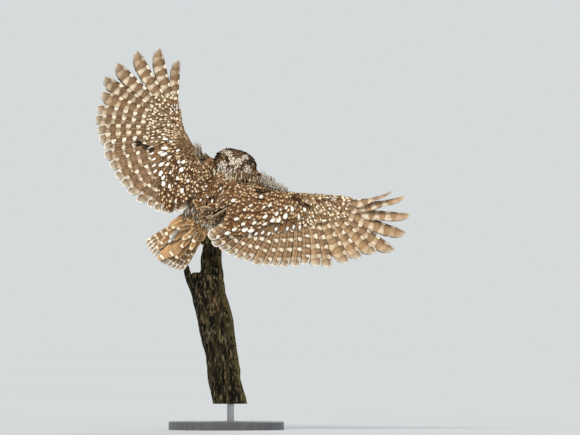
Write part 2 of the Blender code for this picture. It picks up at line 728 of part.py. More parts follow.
def make_tail():
    axis = unit(TAIL_AXIS)
    sideways = square_to(np.array(TAIL_SIDEWAYS), axis)
    normal = np.cross(sideways, -axis)
    start = body_point(*TAIL_ROOT)

    def place(side, along, lift):
        return start + side * sideways + along * axis + lift * normal

    rings = []
    for along, wide, deep, lift in ((-16, 12, 11, -2), (-2, 13, 10, -2), (12, 11.5, 7, -2), (24, 9, 4, -1.6)):
        rings.append(ring_of(place(0, along, lift), sideways * wide, normal * deep, 12))
    tail = solid("tail", loft(rings))
    pieces = []

    def tail_vane(turn, side, begin, length, lift, webs, lead_side, tilt):
        heading = axis * math.cos(math.radians(turn)) + sideways * math.sin(math.radians(turn))
        root = place(side, begin, lift * 0.8)
        tip = place(side, begin, lift) + heading * length - normal * 1.5
        middle = (root + tip) / 2 + normal * 1.5
        lead = square_to(sideways * lead_side, heading)
        outer, inner = webs
        widths = [(0, outer * 0.3, inner * 0.3), (0.35, outer * 0.85, inner * 0.85),
                  (0.85, outer, inner), (1, outer * 0.45, inner * 0.45)]
        shape = vane(root, middle, tip, normal, lead, widths, [tilt] * len(widths))
        pieces.append(solid("vane", shape))

    for number in range(TAIL_FEATHERS):
        from_middle = number - (TAIL_FEATHERS - 1) / 2
        right = from_middle > 0
        order = int(abs(from_middle))
        share = from_middle / (TAIL_FEATHERS / 2 - 0.5)
        turn, length, room = TAIL_SIDES[right]
        lift = 0.0 if order == 0 else -1.3 - 0.35 * (order - 1)
        lift -= (0.8 if order == 0 else 0.5) if right else 0.0
        webs = (7.2, 7.2) if order == 0 else (5.0, 9.5)
        reach = TAIL_LENGTH + (length - TAIL_LENGTH) * share ** 2
        tail_vane(turn * share, from_middle * room, 0, reach, lift, webs, 1 if right else -1,
                  0 if order == 0 else 5)
    for number in range(5):
        from_middle = number - 2
        lift = 3.6 - 0.6 * abs(from_middle) - (0.4 if from_middle > 0 else 0)
        tail_vane(from_middle * 7, from_middle * 3.6, 2, 34 - 2 * abs(from_middle), lift, (6.5, 6.5),
                  1 if from_middle > 0 else -1, 4)
    for number in range(3):
        from_middle = number - 1
        lift = -7.0 + 0.8 * abs(from_middle)
        tail_vane(from_middle * 9, from_middle * 6.5, 4, 33, lift, (7.5, 7.5),
                  1 if from_middle > 0 else -1, -3)
    union(tail, pieces)
    carve(tail, [solid("cut", torso_shape(GAP))])


# Stick

def stick_shape(stations, seed, grow=0.0):
    rings = []
    for up, side, wide in stations:
        ring = []
        for step in range(STICK_SIDES):
            angle = 2 * math.pi * step / STICK_SIDES
            bark = BARK_DEPTH * (math.sin(3 * angle + up * 0.05 + seed) * 0.5
                                 + math.sin(7 * angle - up * 0.11 + 2 * seed) * 0.5) * min(1.0, wide / 14)
            reach = wide + bark + grow
            ring.append(BODY_CENTRE + np.array([side + reach * math.cos(angle),
                                                STICK_AWAY + 0.9 * reach * math.sin(angle), up]))
        rings.append(np.array(ring))
    rings[0] = rings[0] + np.array([0, 0, grow])
    rings[1] = rings[1] + np.array([0, 0, grow * 0.7])
    return loft(rings)


def make_stick():
    stick = solid("perch", stick_shape(TRUNK, TRUNK_BARK), "bark")
    union(stick, [solid("prong", stick_shape(PRONG, PRONG_BARK), "bark")])


# Legs and feet

def thigh_shape(leg, grow=0.0):
    hip = BODY_CENTRE + np.array(leg["hip"], float)
    ankle = BODY_CENTRE + np.array(leg["ankle"], float)
    radii = (9.5, 10.5, 8.5, 6.2, 4.8, 2.6)
    places = (0, 0.3, 0.6, 0.85, 1.0, 1.12)
    path = [hip + (ankle - hip) * place for place in places]
    return limb(path, [radius + grow for radius in radii], 12)


def toe_path(foot, turn):
    """Along the top of the stick from the middle of the foot, then down over its rim."""
    angle = math.radians(turn)
    outward = np.array([math.sin(angle), math.cos(angle), 0.0])
    path = []
    for share in (0, 0.25, 0.5, 0.75, 1):
        drop = -0.6 + 10.5 * max(0.0, share - 0.35) ** 1.7
        path.append(foot + outward * TOE_LENGTH * share - np.array([0, 0, drop]))
    return path


def toe_shapes(leg):
    foot = BODY_CENTRE + np.array(leg["foot"], float)
    radii = [TOE_RADIUS * swell for swell in (1.1, 1, 1.05, 0.92, 0.78)]
    return [limb(toe_path(foot, turn), radii, TOE_SIDES) for turn in leg["toes"]]


def claw_shape(foot, turn):
    path = toe_path(foot, turn)
    heading = unit(path[-1] - path[-2])
    start = path[-1] + heading * GAP
    middle = start + heading * CLAW_LENGTH * 0.55
    tip = start + heading * CLAW_LENGTH * 0.45 - np.array([0, 0, CLAW_LENGTH * 0.75])
    curve = [bezier(start, middle, tip, share) for share in (0, 0.3, 0.6, 0.85, 1)]
    return limb(curve, (1.7, 1.4, 1.0, 0.6, 0.25), 6)


def shank_shape(leg, grow=0.0):
    ankle = BODY_CENTRE + np.array(leg["ankle"], float)
    foot = BODY_CENTRE + np.array(leg["foot"], float)
    heading = unit(foot - ankle)
    end = foot - heading * (PAD_RADIUS - SHANK_SINK) + heading * grow
    return limb([ankle, (ankle + foot) / 2, end], (4.6 + grow, 3.8 + grow, 3.4 + grow), 10)


def make_leg(name):
    leg = LEGS[name]
    foot = BODY_CENTRE + np.array(leg["foot"], float)
    thigh = solid(f"thigh_{name}", thigh_shape(leg))
    carve(thigh, [solid("cut", torso_shape(GAP)), solid("cut", tail_guard())])
    shank = solid(f"tarsus_{name}", shank_shape(leg))
    carve(shank, [solid("cut", thigh_shape(leg, GAP))])
    grip = solid(f"foot_{name}", ball(foot, PAD_RADIUS, 12, 6), "toe")
    union(grip, [solid("toe", shape) for shape in toe_shapes(leg)])
    carve(grip, [solid("cut", stick_shape(TRUNK, TRUNK_BARK, GAP)), solid("cut", shank_shape(leg, GAP))])
    for number, turn in enumerate(leg["toes"]):
        claw = solid(f"claw_{name}_{number + 1}", claw_shape(foot, turn), "claw")
        carve(claw, [solid("cut", stick_shape(TRUNK, TRUNK_BARK, GAP))])


def tail_guard():
    """The space of the tail's root, which the thighs keep clear of."""
    axis = unit(TAIL_AXIS)
    start = body_point(*TAIL_ROOT)
    return limb([start - axis * 20, start + axis * 30], (15, 12), 12)


# Stand

def make_stand():
    foot_up, foot_side, _ = TRUNK[-1]
    under = BODY_CENTRE + np.array([foot_side, STICK_AWAY, foot_up])
    low = np.array([under[0], under[1], BASE_HEIGHT + GAP])
    high = np.array([under[0], under[1], under[2] - GAP])
    wide, deep = np.array([ROD_RADIUS, 0, 0]), np.array([0, ROD_RADIUS, 0])
    solid("stand_rod", loft([ring_of(low, wide, deep, 24), ring_of(high, wide, deep, 24)]), "rod")
    rings = []
    for up, inset in ((0, 0.0), (BASE_HEIGHT - BASE_BEVEL, 0.0), (BASE_HEIGHT, BASE_BEVEL)):
        radius = BASE_RADIUS - inset
        rings.append(ring_of(np.array([0, 0, up]), np.array([radius, 0, 0]), np.array([0, radius, 0]), 48))
    solid("stand_base", loft(rings), "stand")


def main():
    for thing in list(bpy.data.objects):
        bpy.data.objects.remove(thing)
    solid("torso", torso_shape())
    solid("neck", neck_shape())
    make_head()
    for name in ("left", "right"):
        make_wing(name)
        make_leg(name)
    make_tail()
    make_stick()
    make_stand()


main()
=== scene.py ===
"""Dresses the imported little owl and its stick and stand, and adds the floor, the lights and the camera.

Lengths are in millimetres and angles in degrees; meshes are written in metres. X runs to the viewer's right,
Y away from the viewer and Z up, from the middle of the base's underside.
"""

import math

import bpy
import numpy as np
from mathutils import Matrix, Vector, noise
from mathutils.bvhtree import BVHTree


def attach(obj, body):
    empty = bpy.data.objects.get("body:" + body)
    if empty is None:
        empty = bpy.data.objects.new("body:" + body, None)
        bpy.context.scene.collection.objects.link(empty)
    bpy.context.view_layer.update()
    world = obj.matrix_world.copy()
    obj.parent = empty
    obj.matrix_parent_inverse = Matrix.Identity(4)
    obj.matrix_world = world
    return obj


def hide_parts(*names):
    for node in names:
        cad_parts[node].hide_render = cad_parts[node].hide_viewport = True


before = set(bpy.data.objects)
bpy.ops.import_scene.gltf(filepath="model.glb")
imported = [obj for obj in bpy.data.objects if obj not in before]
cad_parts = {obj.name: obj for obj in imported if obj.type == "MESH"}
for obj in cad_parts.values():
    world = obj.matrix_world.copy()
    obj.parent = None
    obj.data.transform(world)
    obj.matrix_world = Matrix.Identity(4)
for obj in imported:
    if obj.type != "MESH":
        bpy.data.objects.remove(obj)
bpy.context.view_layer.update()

MM = 0.001
DRAW = np.random.default_rng(7)

# Sizes shared with the solids. TORSO_RINGS holds places ahead of the body's middle with half breadths and
# half depths, WING_CORE spans with chords and thicknesses, LEGS joints and the directions of the toes, and
# TRUNK and PRONG heights with places to the side and radii.

BODY_CENTRE = np.array([-9.0, -18.0, 332.0])
BODY_FORWARD = (0.557, 0.233, 0.797)
BODY_RIGHT = (0.828, -0.227, -0.513)
TORSO_RINGS = ((-53, 5, 4), (-49, 13, 11), (-41, 20, 17), (-27, 26, 22), (-10, 29, 25),
               (6, 30, 26.5), (17, 29, 26), (24, 27, 24.5))
HEAD_AT = np.array([21.5, 11.0, 44.5])
HEAD_ROLL = 16
HEAD_PITCH = 8
HEAD_HALF_WIDTH = 32
HEAD_HALF_HEIGHT = 22.5
HEAD_BACK = 26
HEAD_FRONT = 21
HEAD_SQUARENESS = 2.35
HEAD_UNDERSIDE = 14.7
EYE_RADIUS = 8.0
EYE_AT = (12.6, 11.4, 2.0)
EYE_SPREAD = 13
SHOULDER = (24, 24, 10)
WING_SPAN = (0.835, 0.44, -0.33)
PRIMARIES = 10
FLIGHT_FEATHERS = 22
ELBOW_SPAN = 38
WRIST_SPAN = 84
HAND_SPAN = 123
ELBOW_CHORD = 36
WING_CORE = ((-14, 44, 12), (0, 48, 14), (20, 47, 13), (40, 43, 12), (60, 33, 10), (80, 24, 8.5),
             (100, 17, 7), (118, 12, 5.4), (129, 8, 3.6))
WING_ROOT_REACH = 54
FEATHER_TILT = 10
# For each wing: its side, its slope, how far its root slants, how bright its feathers are painted (flight
# feathers, innermost flight feathers, coverts, coverts of the hand), which is painted light and shade: one
# plumage is painted brighter on the right wing, as light shining through it, and darker on the left wing's
# coverts and the right wing's innermost flight feathers, as painted shade; the leading edge and the shoulder's
# reach ahead of it by span, span, chord and lift of the feather tips by number, the twist and bow of the outer
# feathers by number, pale ovals (span, chord, half length, half breadth) and dark gaps, which are painted shade
# (the same, and a turn)
WINGS = {
    "right": {
        "side": 1,
        "incidence": 16,
        "root_slant": 18,
        # brighter than the left wing: painted light, as light shining through this wing; innermost flight
        # feathers darker as painted shade
        "light": (1.5, 0.62, 1.3, 1.1),
        "leading_edge": ((-14, -4), (27, -8.6), (54, -9.3), (82, -10.2), (113, -15), (129, -14)),
        "shoulder": ((-14, 0), (4, 6), (14, 10), (20, 8.5), (26, 3), (36, 0)),
        "tips": ((0, 213, -30, 24), (1, 232, -27, 22), (2, 243, -2, 17), (3, 240, 25, 12), (4, 226, 54, 9),
                 (5, 200, 62, 7), (6, 179, 74, 6), (7, 160, 85, 5), (8, 134, 97, 4), (9, 118, 98, 3),
                 (10, 99, 99, 2), (11, 85, 105, 2), (12, 68, 109, 2), (14, 40, 112, 2), (15, 26, 114, 2),
                 (16, 11, 110, 2), (17, -1, 109, 2), (18, -14, 105, 2), (20, -37, 96, 2), (21, -44, 86, 2)),
        "twist": ((0, 66), (1, 58), (2, 36), (3, 18), (4, 8), (5, 0)),
        "bow": ((0, -0.07), (1, -0.06), (2, -0.03), (4, 0.01), (8, 0.04), (12, 0.03)),
        "spots": ((40, 22, 3.0, 2.6), (48, 32, 3.6, 3.0), (63, 35, 4.4, 3.2), (64, 20, 3.0, 2.2),
                  (72, 23, 3.6, 2.4), (82, 29, 3.8, 2.6), (91, 18, 3.0, 2.2), (56, 24, 2.6, 2.0),
                  (-10, 66, 4.5, 3.2), (5, 66, 4.6, 3.4), (15, 66, 4.4, 3.4), (26, 66, 4.6, 3.4),
                  (35, 57, 3.4, 2.6), (44, 46, 4.4, 3.2), (53, 43, 4.6, 3.2), (64, 52, 3.4, 2.6),
                  (76, 51, 4.4, 3.0), (87, 47, 4.2, 2.8), (100, 36, 3.4, 2.6), (-14, 25, 3.4, 3.0),
                  (-6, 53, 3.4, 2.8), (0.5, 58, 3.6, 3.0), (32, 38, 3.8, 3.2), (23, 13, 3.2, 2.6),
                  (-18, 77, 3.8, 3.2), (10, 45, 2.8, 2.4), (20, 52, 3.0, 2.6), (2, 36, 2.6, 2.2),
                  (12, 28, 2.4, 2.0), (30, 26, 2.6, 1.8)),
        "gaps": ((28, 0, 12, 3.5, -8), (74, 0, 6, 4, 60), (84, 6, 9, 4.5, 40), (97, 11, 9, 3.5, 30)),
    },
    "left": {
        "side": -1,
        "incidence": 6,
        "root_slant": 36,
        # coverts darker than the right wing's: painted shade
        "light": (0.92, 1.0, 0.58, 0.55),
        "leading_edge": ((-14, 6), (35, 8.5), (71, 6), (92, 4.5), (122, -4.4), (129, -5)),
        "shoulder": ((-14, 0), (0, 1), (15, 9.5), (27, 14.5), (35, 10.6), (48, 5), (61, 2.3), (75, 0)),
        "tips": ((0, 195, -40, 14), (1, 231, -26, 14), (2, 249, 3, 12), (3, 250, 36, 10), (4, 241, 62, 8),
                 (5, 220, 77, 7), (6, 203, 93, 6), (7, 189, 104, 5), (8, 171, 110, 4), (9, 155, 115, 3),
                 (10, 139, 115, 2), (11, 125, 122, 2), (13, 82, 124, 2), (15, 44, 121, 2), (16, 21, 116, 2),
                 (17, 3, 106, 2), (18, -10, 100, 2), (19, -20, 92, 2), (20, -27, 82, 2), (21, -31, 72, 2)),
        "twist": ((0, 10), (2, 4), (4, 0)),
        "bow": ((0, -0.02), (4, 0.0), (8, 0.03), (12, 0.03)),
        "spots": ((77, 46, 4.6, 3.2), (75, 58, 4.0, 3.0), (65, 61, 4.4, 3.0), (67, 49, 4.0, 3.0),
                  (40, 35, 4.2, 3.2), (35, 31, 3.6, 3.0), (26, 41, 4.0, 3.4), (39, 73, 4.4, 3.4),
                  (34, 70, 3.8, 3.0), (23, 73, 4.4, 3.4), (15, 51, 3.4, 3.0), (-6, 53, 3.8, 3.2),
                  (-17, 70, 3.6, 3.0), (52, 66, 4.0, 3.0), (57, 44, 3.0, 2.4), (48, 52, 3.0, 2.4),
                  (30, 56, 3.2, 2.6), (13, 66, 3.4, 2.8), (3, 40, 2.8, 2.4), (113, 64, 4.6, 1.6),
                  (106, 48, 4.2, 1.6), (100, 52, 4.2, 1.6), (96, 41, 3.8, 1.7), (90, 37, 3.4, 1.8),
                  (121, 26, 3.8, 1.6), (110, 17, 3.6, 1.6), (88, 60, 4.4, 2.6), (99, 64, 4.2, 2.4),
                  (60, 30, 2.6, 1.8), (80, 30, 2.6, 1.6)),
        "gaps": ((112, 72, 7, 5, 30), (100, 66, 7, 4, 30), (89, 61, 5, 3.5, 30), (30, 6, 9, 3.5, 10)),
    },
}
UNDER_REACH = 0.46
TAIL_ROOT = (-4, -43, 3)
TAIL_AXIS = (-0.675, -0.22, -0.70)
TAIL_SIDEWAYS = (0.70, -0.12, -0.70)
TAIL_FEATHERS = 12
TAIL_SIDES = ((16, 84, 1.6), (13, 77, 2.5))
TAIL_LENGTH = 86
LEGS = {
    "right": {"hip": (1, 5, -22), "ankle": (-3, 4, -45), "foot": (-2.5, 22, -63.5),
              "toes": (8, 52, 128, -172)},
    "left": {"hip": (-20, 11, -11), "ankle": (-24, 4, -43), "foot": (-19.5, 23, -63.5),
             "toes": (-8, -58, -128, 172)},
}
TOE_LENGTH = 17
TOE_RADIUS = 2.5
CLAW_LENGTH = 9
PAD_RADIUS = 4.6
STICK_AWAY = 22
TRUNK = ((-66.8, -10.6, 4), (-67.6, -10.6, 9.5), (-71, -10.8, 13.2), (-88, -12.8, 14.6),
         (-105, -12.1, 15.2), (-119, -14.2, 18.6), (-135, -17.4, 24.6), (-152, -12.1, 25.4),
         (-174, -6.4, 25.4), (-199, -3, 24.6), (-226, 1.8, 22.8), (-261, 6.6, 23.4), (-295, 14.9, 24.2))
PRONG = ((-98, -48.6, 3.4), (-100, -48.4, 4.5), (-113, -45.6, 5.2), (-127, -39.6, 6.4), (-141, -32, 8),
         (-158, -22, 9))
TRUNK_BARK = 0.4
PRONG_BARK = 1.7
BARK_DEPTH = 0.9

# The broken wood that fills the bottom of the fork, as TRUNK
CROTCH = ((-108.5, -33, 4), (-109.5, -33.5, 6.4), (-113, -34.5, 7.6), (-121, -33.5, 8.6), (-136, -27, 8.6))
CROTCH_BARK = 2.4

# The photograph: the millimetres of one pixel, and the pixel at which the middle of the body shows
PHOTO_SCALE = 1.42
PHOTO_ACROSS, PHOTO_DOWN = 220, 196

# The camera in metres: its distance, its place across and up, and the breadth that the picture spans
CAMERA_AWAY, CAMERA_ACROSS, CAMERA_UP = 24.0, 0.0904, 0.3015
PICTURE_BREADTH = 0.8236
SENSOR = 36

FACE_FRONT = 8.5
BLADE_THICKNESS = 0.16
MAP_STRIPS = 96


def shade(red, green, blue):
    """A colour given as the eye sees it, from 0 to 255, as the linear values that a shader takes."""
    level = np.array([red, green, blue], float) / 255
    return np.where(level <= 0.04045, level / 12.92, ((level + 0.055) / 1.055) ** 2.4)


BROWN = shade(150, 108, 69)
DARK = shade(60, 38, 22)
UMBER = shade(112, 77, 47)
BUFF = shade(216, 176, 128)
CREAM = shade(240, 221, 188)
WHITE = shade(250, 246, 238)
GREY = shade(164, 155, 140)
FRINGE = shade(212, 174, 126)
QUILL = shade(164, 133, 99)
QUILL_EDGE = shade(104, 74, 50)
QUILL_TIP = shade(204, 196, 178)
# The tail's brown, painted brighter than the body's as painted light, since the tail slants away from the lamps
LIT_TAIL_BROWN = shade(244, 194, 136)
PAPER = np.array([174.6, 178.8, 183.0])
BACKDROP = shade(214, 218, 219)


# Vectors and curves

def unit(vector):
    vector = np.asarray(vector, float)
    return vector / np.linalg.norm(vector, axis=-1, keepdims=True)


def along(a, b):
    """The products of matching rows."""
    return np.sum(a * b, axis=-1, keepdims=True)


def square_to(vector, axis):
    return unit(vector - along(vector, axis) * axis)


def turned(vector, axis, degrees):
    angle = math.radians(degrees)
    across = np.cross(axis, vector)
    inline = np.dot(axis, vector) * axis
    return inline + (vector - inline) * math.cos(angle) + across * math.sin(angle)


def table_at(table, place):
    rows = np.array(table, float)
    return np.array([np.interp(place, rows[:, 0], column) for column in rows.T[1:]])


def bezier(start, middle, end, share):
    return (1 - share) ** 2 * start + 2 * share * (1 - share) * middle + share ** 2 * end


def bezier_heading(start, middle, end, share):
    return unit((1 - share) * (middle - start) + share * (end - middle))


def smooth_step(low, high, value):
    share = np.clip((np.asarray(value, float) - low) / (high - low), 0, 1)
    return share * share * (3 - 2 * share)


FORWARD = unit(BODY_FORWARD)
RIGHT = square_to(np.array(BODY_RIGHT), FORWARD)
DORSAL = np.cross(RIGHT, FORWARD)
HEAD_RIGHT = np.array([math.cos(math.radians(HEAD_ROLL)), 0, -math.sin(math.radians(HEAD_ROLL))])
HEAD_FORWARD = turned(np.array([0.0, 1.0, 0.0]), HEAD_RIGHT, -HEAD_PITCH)
HEAD_UP = np.cross(HEAD_RIGHT, HEAD_FORWARD)
HEAD_CENTRE = BODY_CENTRE + HEAD_AT


def body_point(right, forward, dorsal):
    return BODY_CENTRE + right * RIGHT + forward * FORWARD + dorsal * DORSAL


def head_point(right, forward, up):
    return HEAD_CENTRE + right * HEAD_RIGHT + forward * HEAD_FORWARD + up * HEAD_UP


def in_head(points):
    """Places to the right, ahead and above the middle of the head."""
    return (np.asarray(points) - HEAD_CENTRE) @ np.array([HEAD_RIGHT, HEAD_FORWARD, HEAD_UP]).T


def on_head(places):
    """Which places, given by the head's own axes, belong to the head."""
    return (np.linalg.norm(places / (34, 30, 26), axis=1) < 1) & (places[:, 2] > -16)


def in_body(points):
    return (np.asarray(points) - BODY_CENTRE) @ np.array([RIGHT, FORWARD, DORSAL]).T


def photo_point(across, down, away):
    """The place that shows at this spot of the photograph, at this distance beyond the plane of the base."""
    return np.array([BODY_CENTRE[0] + (across - PHOTO_ACROSS) * PHOTO_SCALE, away,
                     BODY_CENTRE[2] + (PHOTO_DOWN - down) * PHOTO_SCALE])


def photo_spots(points):
    """Where in the photograph these places show, across and down."""
    return ((points[:, 0] - BODY_CENTRE[0]) / PHOTO_SCALE + PHOTO_ACROSS,
            PHOTO_DOWN - (points[:, 2] - BODY_CENTRE[2]) / PHOTO_SCALE)


def flat_heading(degrees):
    return np.array([math.cos(math.radians(degrees)), math.sin(math.radians(degrees))])


def skin_behind(tree, across, down, missing):
    """How far away the skin is behind this spot of the photograph."""
    place = tree.ray_cast(Vector(photo_point(across, down, -95)), Vector((0, 1, 0)))[0]
    return missing if place is None else place[1]


# Materials

class Graph:
    """A material's nodes. A number is set on a socket; anything else is linked to it."""

    def __init__(self, name):
        self.material = bpy.data.materials.new(name)
        self.material.use_nodes = True
        self.tree = self.material.node_tree
        self.shader = self.tree.nodes["Principled BSDF"]

    def put(self, socket, value):
        if isinstance(value, bpy.types.NodeSocket):
            self.tree.links.new(value, socket)
        elif isinstance(value, (tuple, list, np.ndarray)):
            size = len(socket.default_value)
            socket.default_value = (*value, 1.0)[:size]
        else:
            socket.default_value = value

    def node(self, kind, **settings):
        made = self.tree.nodes.new(kind)
        for key, value in settings.items():
            setattr(made, key, value)
        return made

    def read(self, name):
        return self.node("ShaderNodeAttribute", attribute_name=name)

    def parts(self, vector):
        made = self.node("ShaderNodeSeparateXYZ")
        self.put(made.inputs[0], vector)
        return made.outputs[0], made.outputs[1], made.outputs[2]

    def sum(self, operation, a, b=0.0, c=0.0):
        made = self.node("ShaderNodeMath", operation=operation)
        for socket, value in zip(made.inputs, (a, b, c)):
            self.put(socket, value)
        return made.outputs[0]

    def ramp(self, value, low, high, start=0.0, end=1.0):
        """Rises smoothly from start to end as the value goes from low to high."""
        made = self.node("ShaderNodeMapRange", interpolation_type="SMOOTHSTEP")
        for socket, number in zip(made.inputs, (value, low, high, start, end)):
            self.put(socket, number)
        return made.outputs[0]

    def times(self, a, b, plus=None):
        return self.sum("MULTIPLY", a, b) if plus is None else self.sum("MULTIPLY_ADD", a, b, plus)

    def scaled(self, colour, level):
        made = self.node("ShaderNodeVectorMath", operation="SCALE")
        self.put(made.inputs[0], colour)
        self.put(made.inputs["Scale"], level)
        return made.outputs[0]

    def mix(self, share, a, b):
        made = self.node("ShaderNodeMix", data_type="RGBA", blend_type="MIX")
        self.put(made.inputs[0], share)
        self.put(made.inputs[6], a)
        self.put(made.inputs[7], b)
        return made.outputs[2]

    def place(self, scale=(1, 1, 1)):
        where = self.node("ShaderNodeTexCoord")
        spread = self.node("ShaderNodeMapping")
        self.put(spread.inputs["Vector"], where.outputs["Object"])
        self.put(spread.inputs["Scale"], scale)
        return spread.outputs[0]

    def noise(self, scale, detail=2.0, stretch=(1, 1, 1)):
        made = self.node("ShaderNodeTexNoise")
        self.put(made.inputs["Vector"], self.place(stretch))
        self.put(made.inputs["Scale"], scale)
        self.put(made.inputs["Detail"], detail)
        return made.outputs[0]

    def bump(self, height, depth):
        made = self.node("ShaderNodeBump")
        self.put(made.inputs["Height"], height)
        self.put(made.inputs["Distance"], depth * MM)
        self.put(made.inputs["Strength"], 1.0)
        self.put(self.shader.inputs["Normal"], made.outputs[0])

    def finish(self, colour, roughness, **settings):
        self.put(self.shader.inputs["Base Color"], colour)
        self.put(self.shader.inputs["Roughness"], roughness)
        for key, value in settings.items():
            self.put(self.shader.inputs[key.replace("_", " ")], value)
        return self.material


def barbs(graph, from_tip, from_shaft):
    """Fine slanting lines, as the barbs make on a vane."""
    slant = graph.times(graph.sum("ABSOLUTE", from_shaft), -0.9, from_tip)
    return graph.sum("SINE", graph.times(slant, 9.0))


def coat_material():
    """Small feathers: a ground colour, darker at the middle and base, a spot, a shaft and a pale rim."""
    graph = Graph("plumage")
    share, _, chance = graph.parts(graph.read("vane").outputs["Vector"])
    from_tip, from_shaft, from_edge = graph.parts(graph.read("measure").outputs["Vector"])
    spot_place, spot_side, spot_strength = graph.parts(graph.read("spot").outputs["Vector"])
    spot_long, spot_wide, fringe = graph.parts(graph.read("spread").outputs["Vector"])
    streak, dapple, centre = graph.parts(graph.read("trim").outputs["Vector"])
    ground = graph.read("ground").outputs["Color"]
    mark = graph.read("mark").outputs["Color"]
    wobble = graph.sum("SUBTRACT", graph.noise(800, 3.0), 0.5)
    lengthwise = graph.sum("DIVIDE", graph.sum("SUBTRACT", from_tip, spot_place), spot_long)
    sideways = graph.sum("DIVIDE", graph.sum("SUBTRACT", from_shaft, spot_side), spot_wide)
    squared = graph.times(sideways, sideways, graph.times(lengthwise, lengthwise))
    distance = graph.times(wobble, 1.5, graph.sum("SQRT", squared))
    spot = graph.times(graph.ramp(distance, 1.15, 0.75), spot_strength)
    halo = graph.times(graph.ramp(distance, 1.8, 1.05), graph.times(spot_strength, 0.6))
    lines = barbs(graph, from_tip, from_shaft)
    level = graph.ramp(share, 0.1, 0.8, 0.42, 1.0)
    level = graph.times(level, graph.times(chance, 0.44, 0.8))
    level = graph.times(level, graph.times(lines, 0.05, 1.0))
    colour = graph.scaled(ground, level)
    middle = graph.times(graph.ramp(from_edge, 0.4, 2.6), centre)
    colour = graph.mix(middle, colour, UMBER * 0.5)
    darker = graph.ramp(graph.noise(420, 3.0), 0.42, 0.62)
    colour = graph.mix(graph.times(darker, dapple), colour, DARK)
    shaft = graph.times(graph.ramp(graph.sum("ABSOLUTE", from_shaft), 0.7, 0.1), streak)
    colour = graph.mix(shaft, colour, DARK)
    rim = graph.times(graph.ramp(from_edge, 1.0, 0.2), fringe)
    colour = graph.mix(rim, colour, graph.mix(0.45, FRINGE, mark))
    colour = graph.mix(halo, colour, DARK)
    colour = graph.mix(spot, colour, mark)
    graph.bump(lines, 0.03)
    return graph.finish(colour, 0.82, Sheen_Weight=0.05, Specular_IOR_Level=0.12)


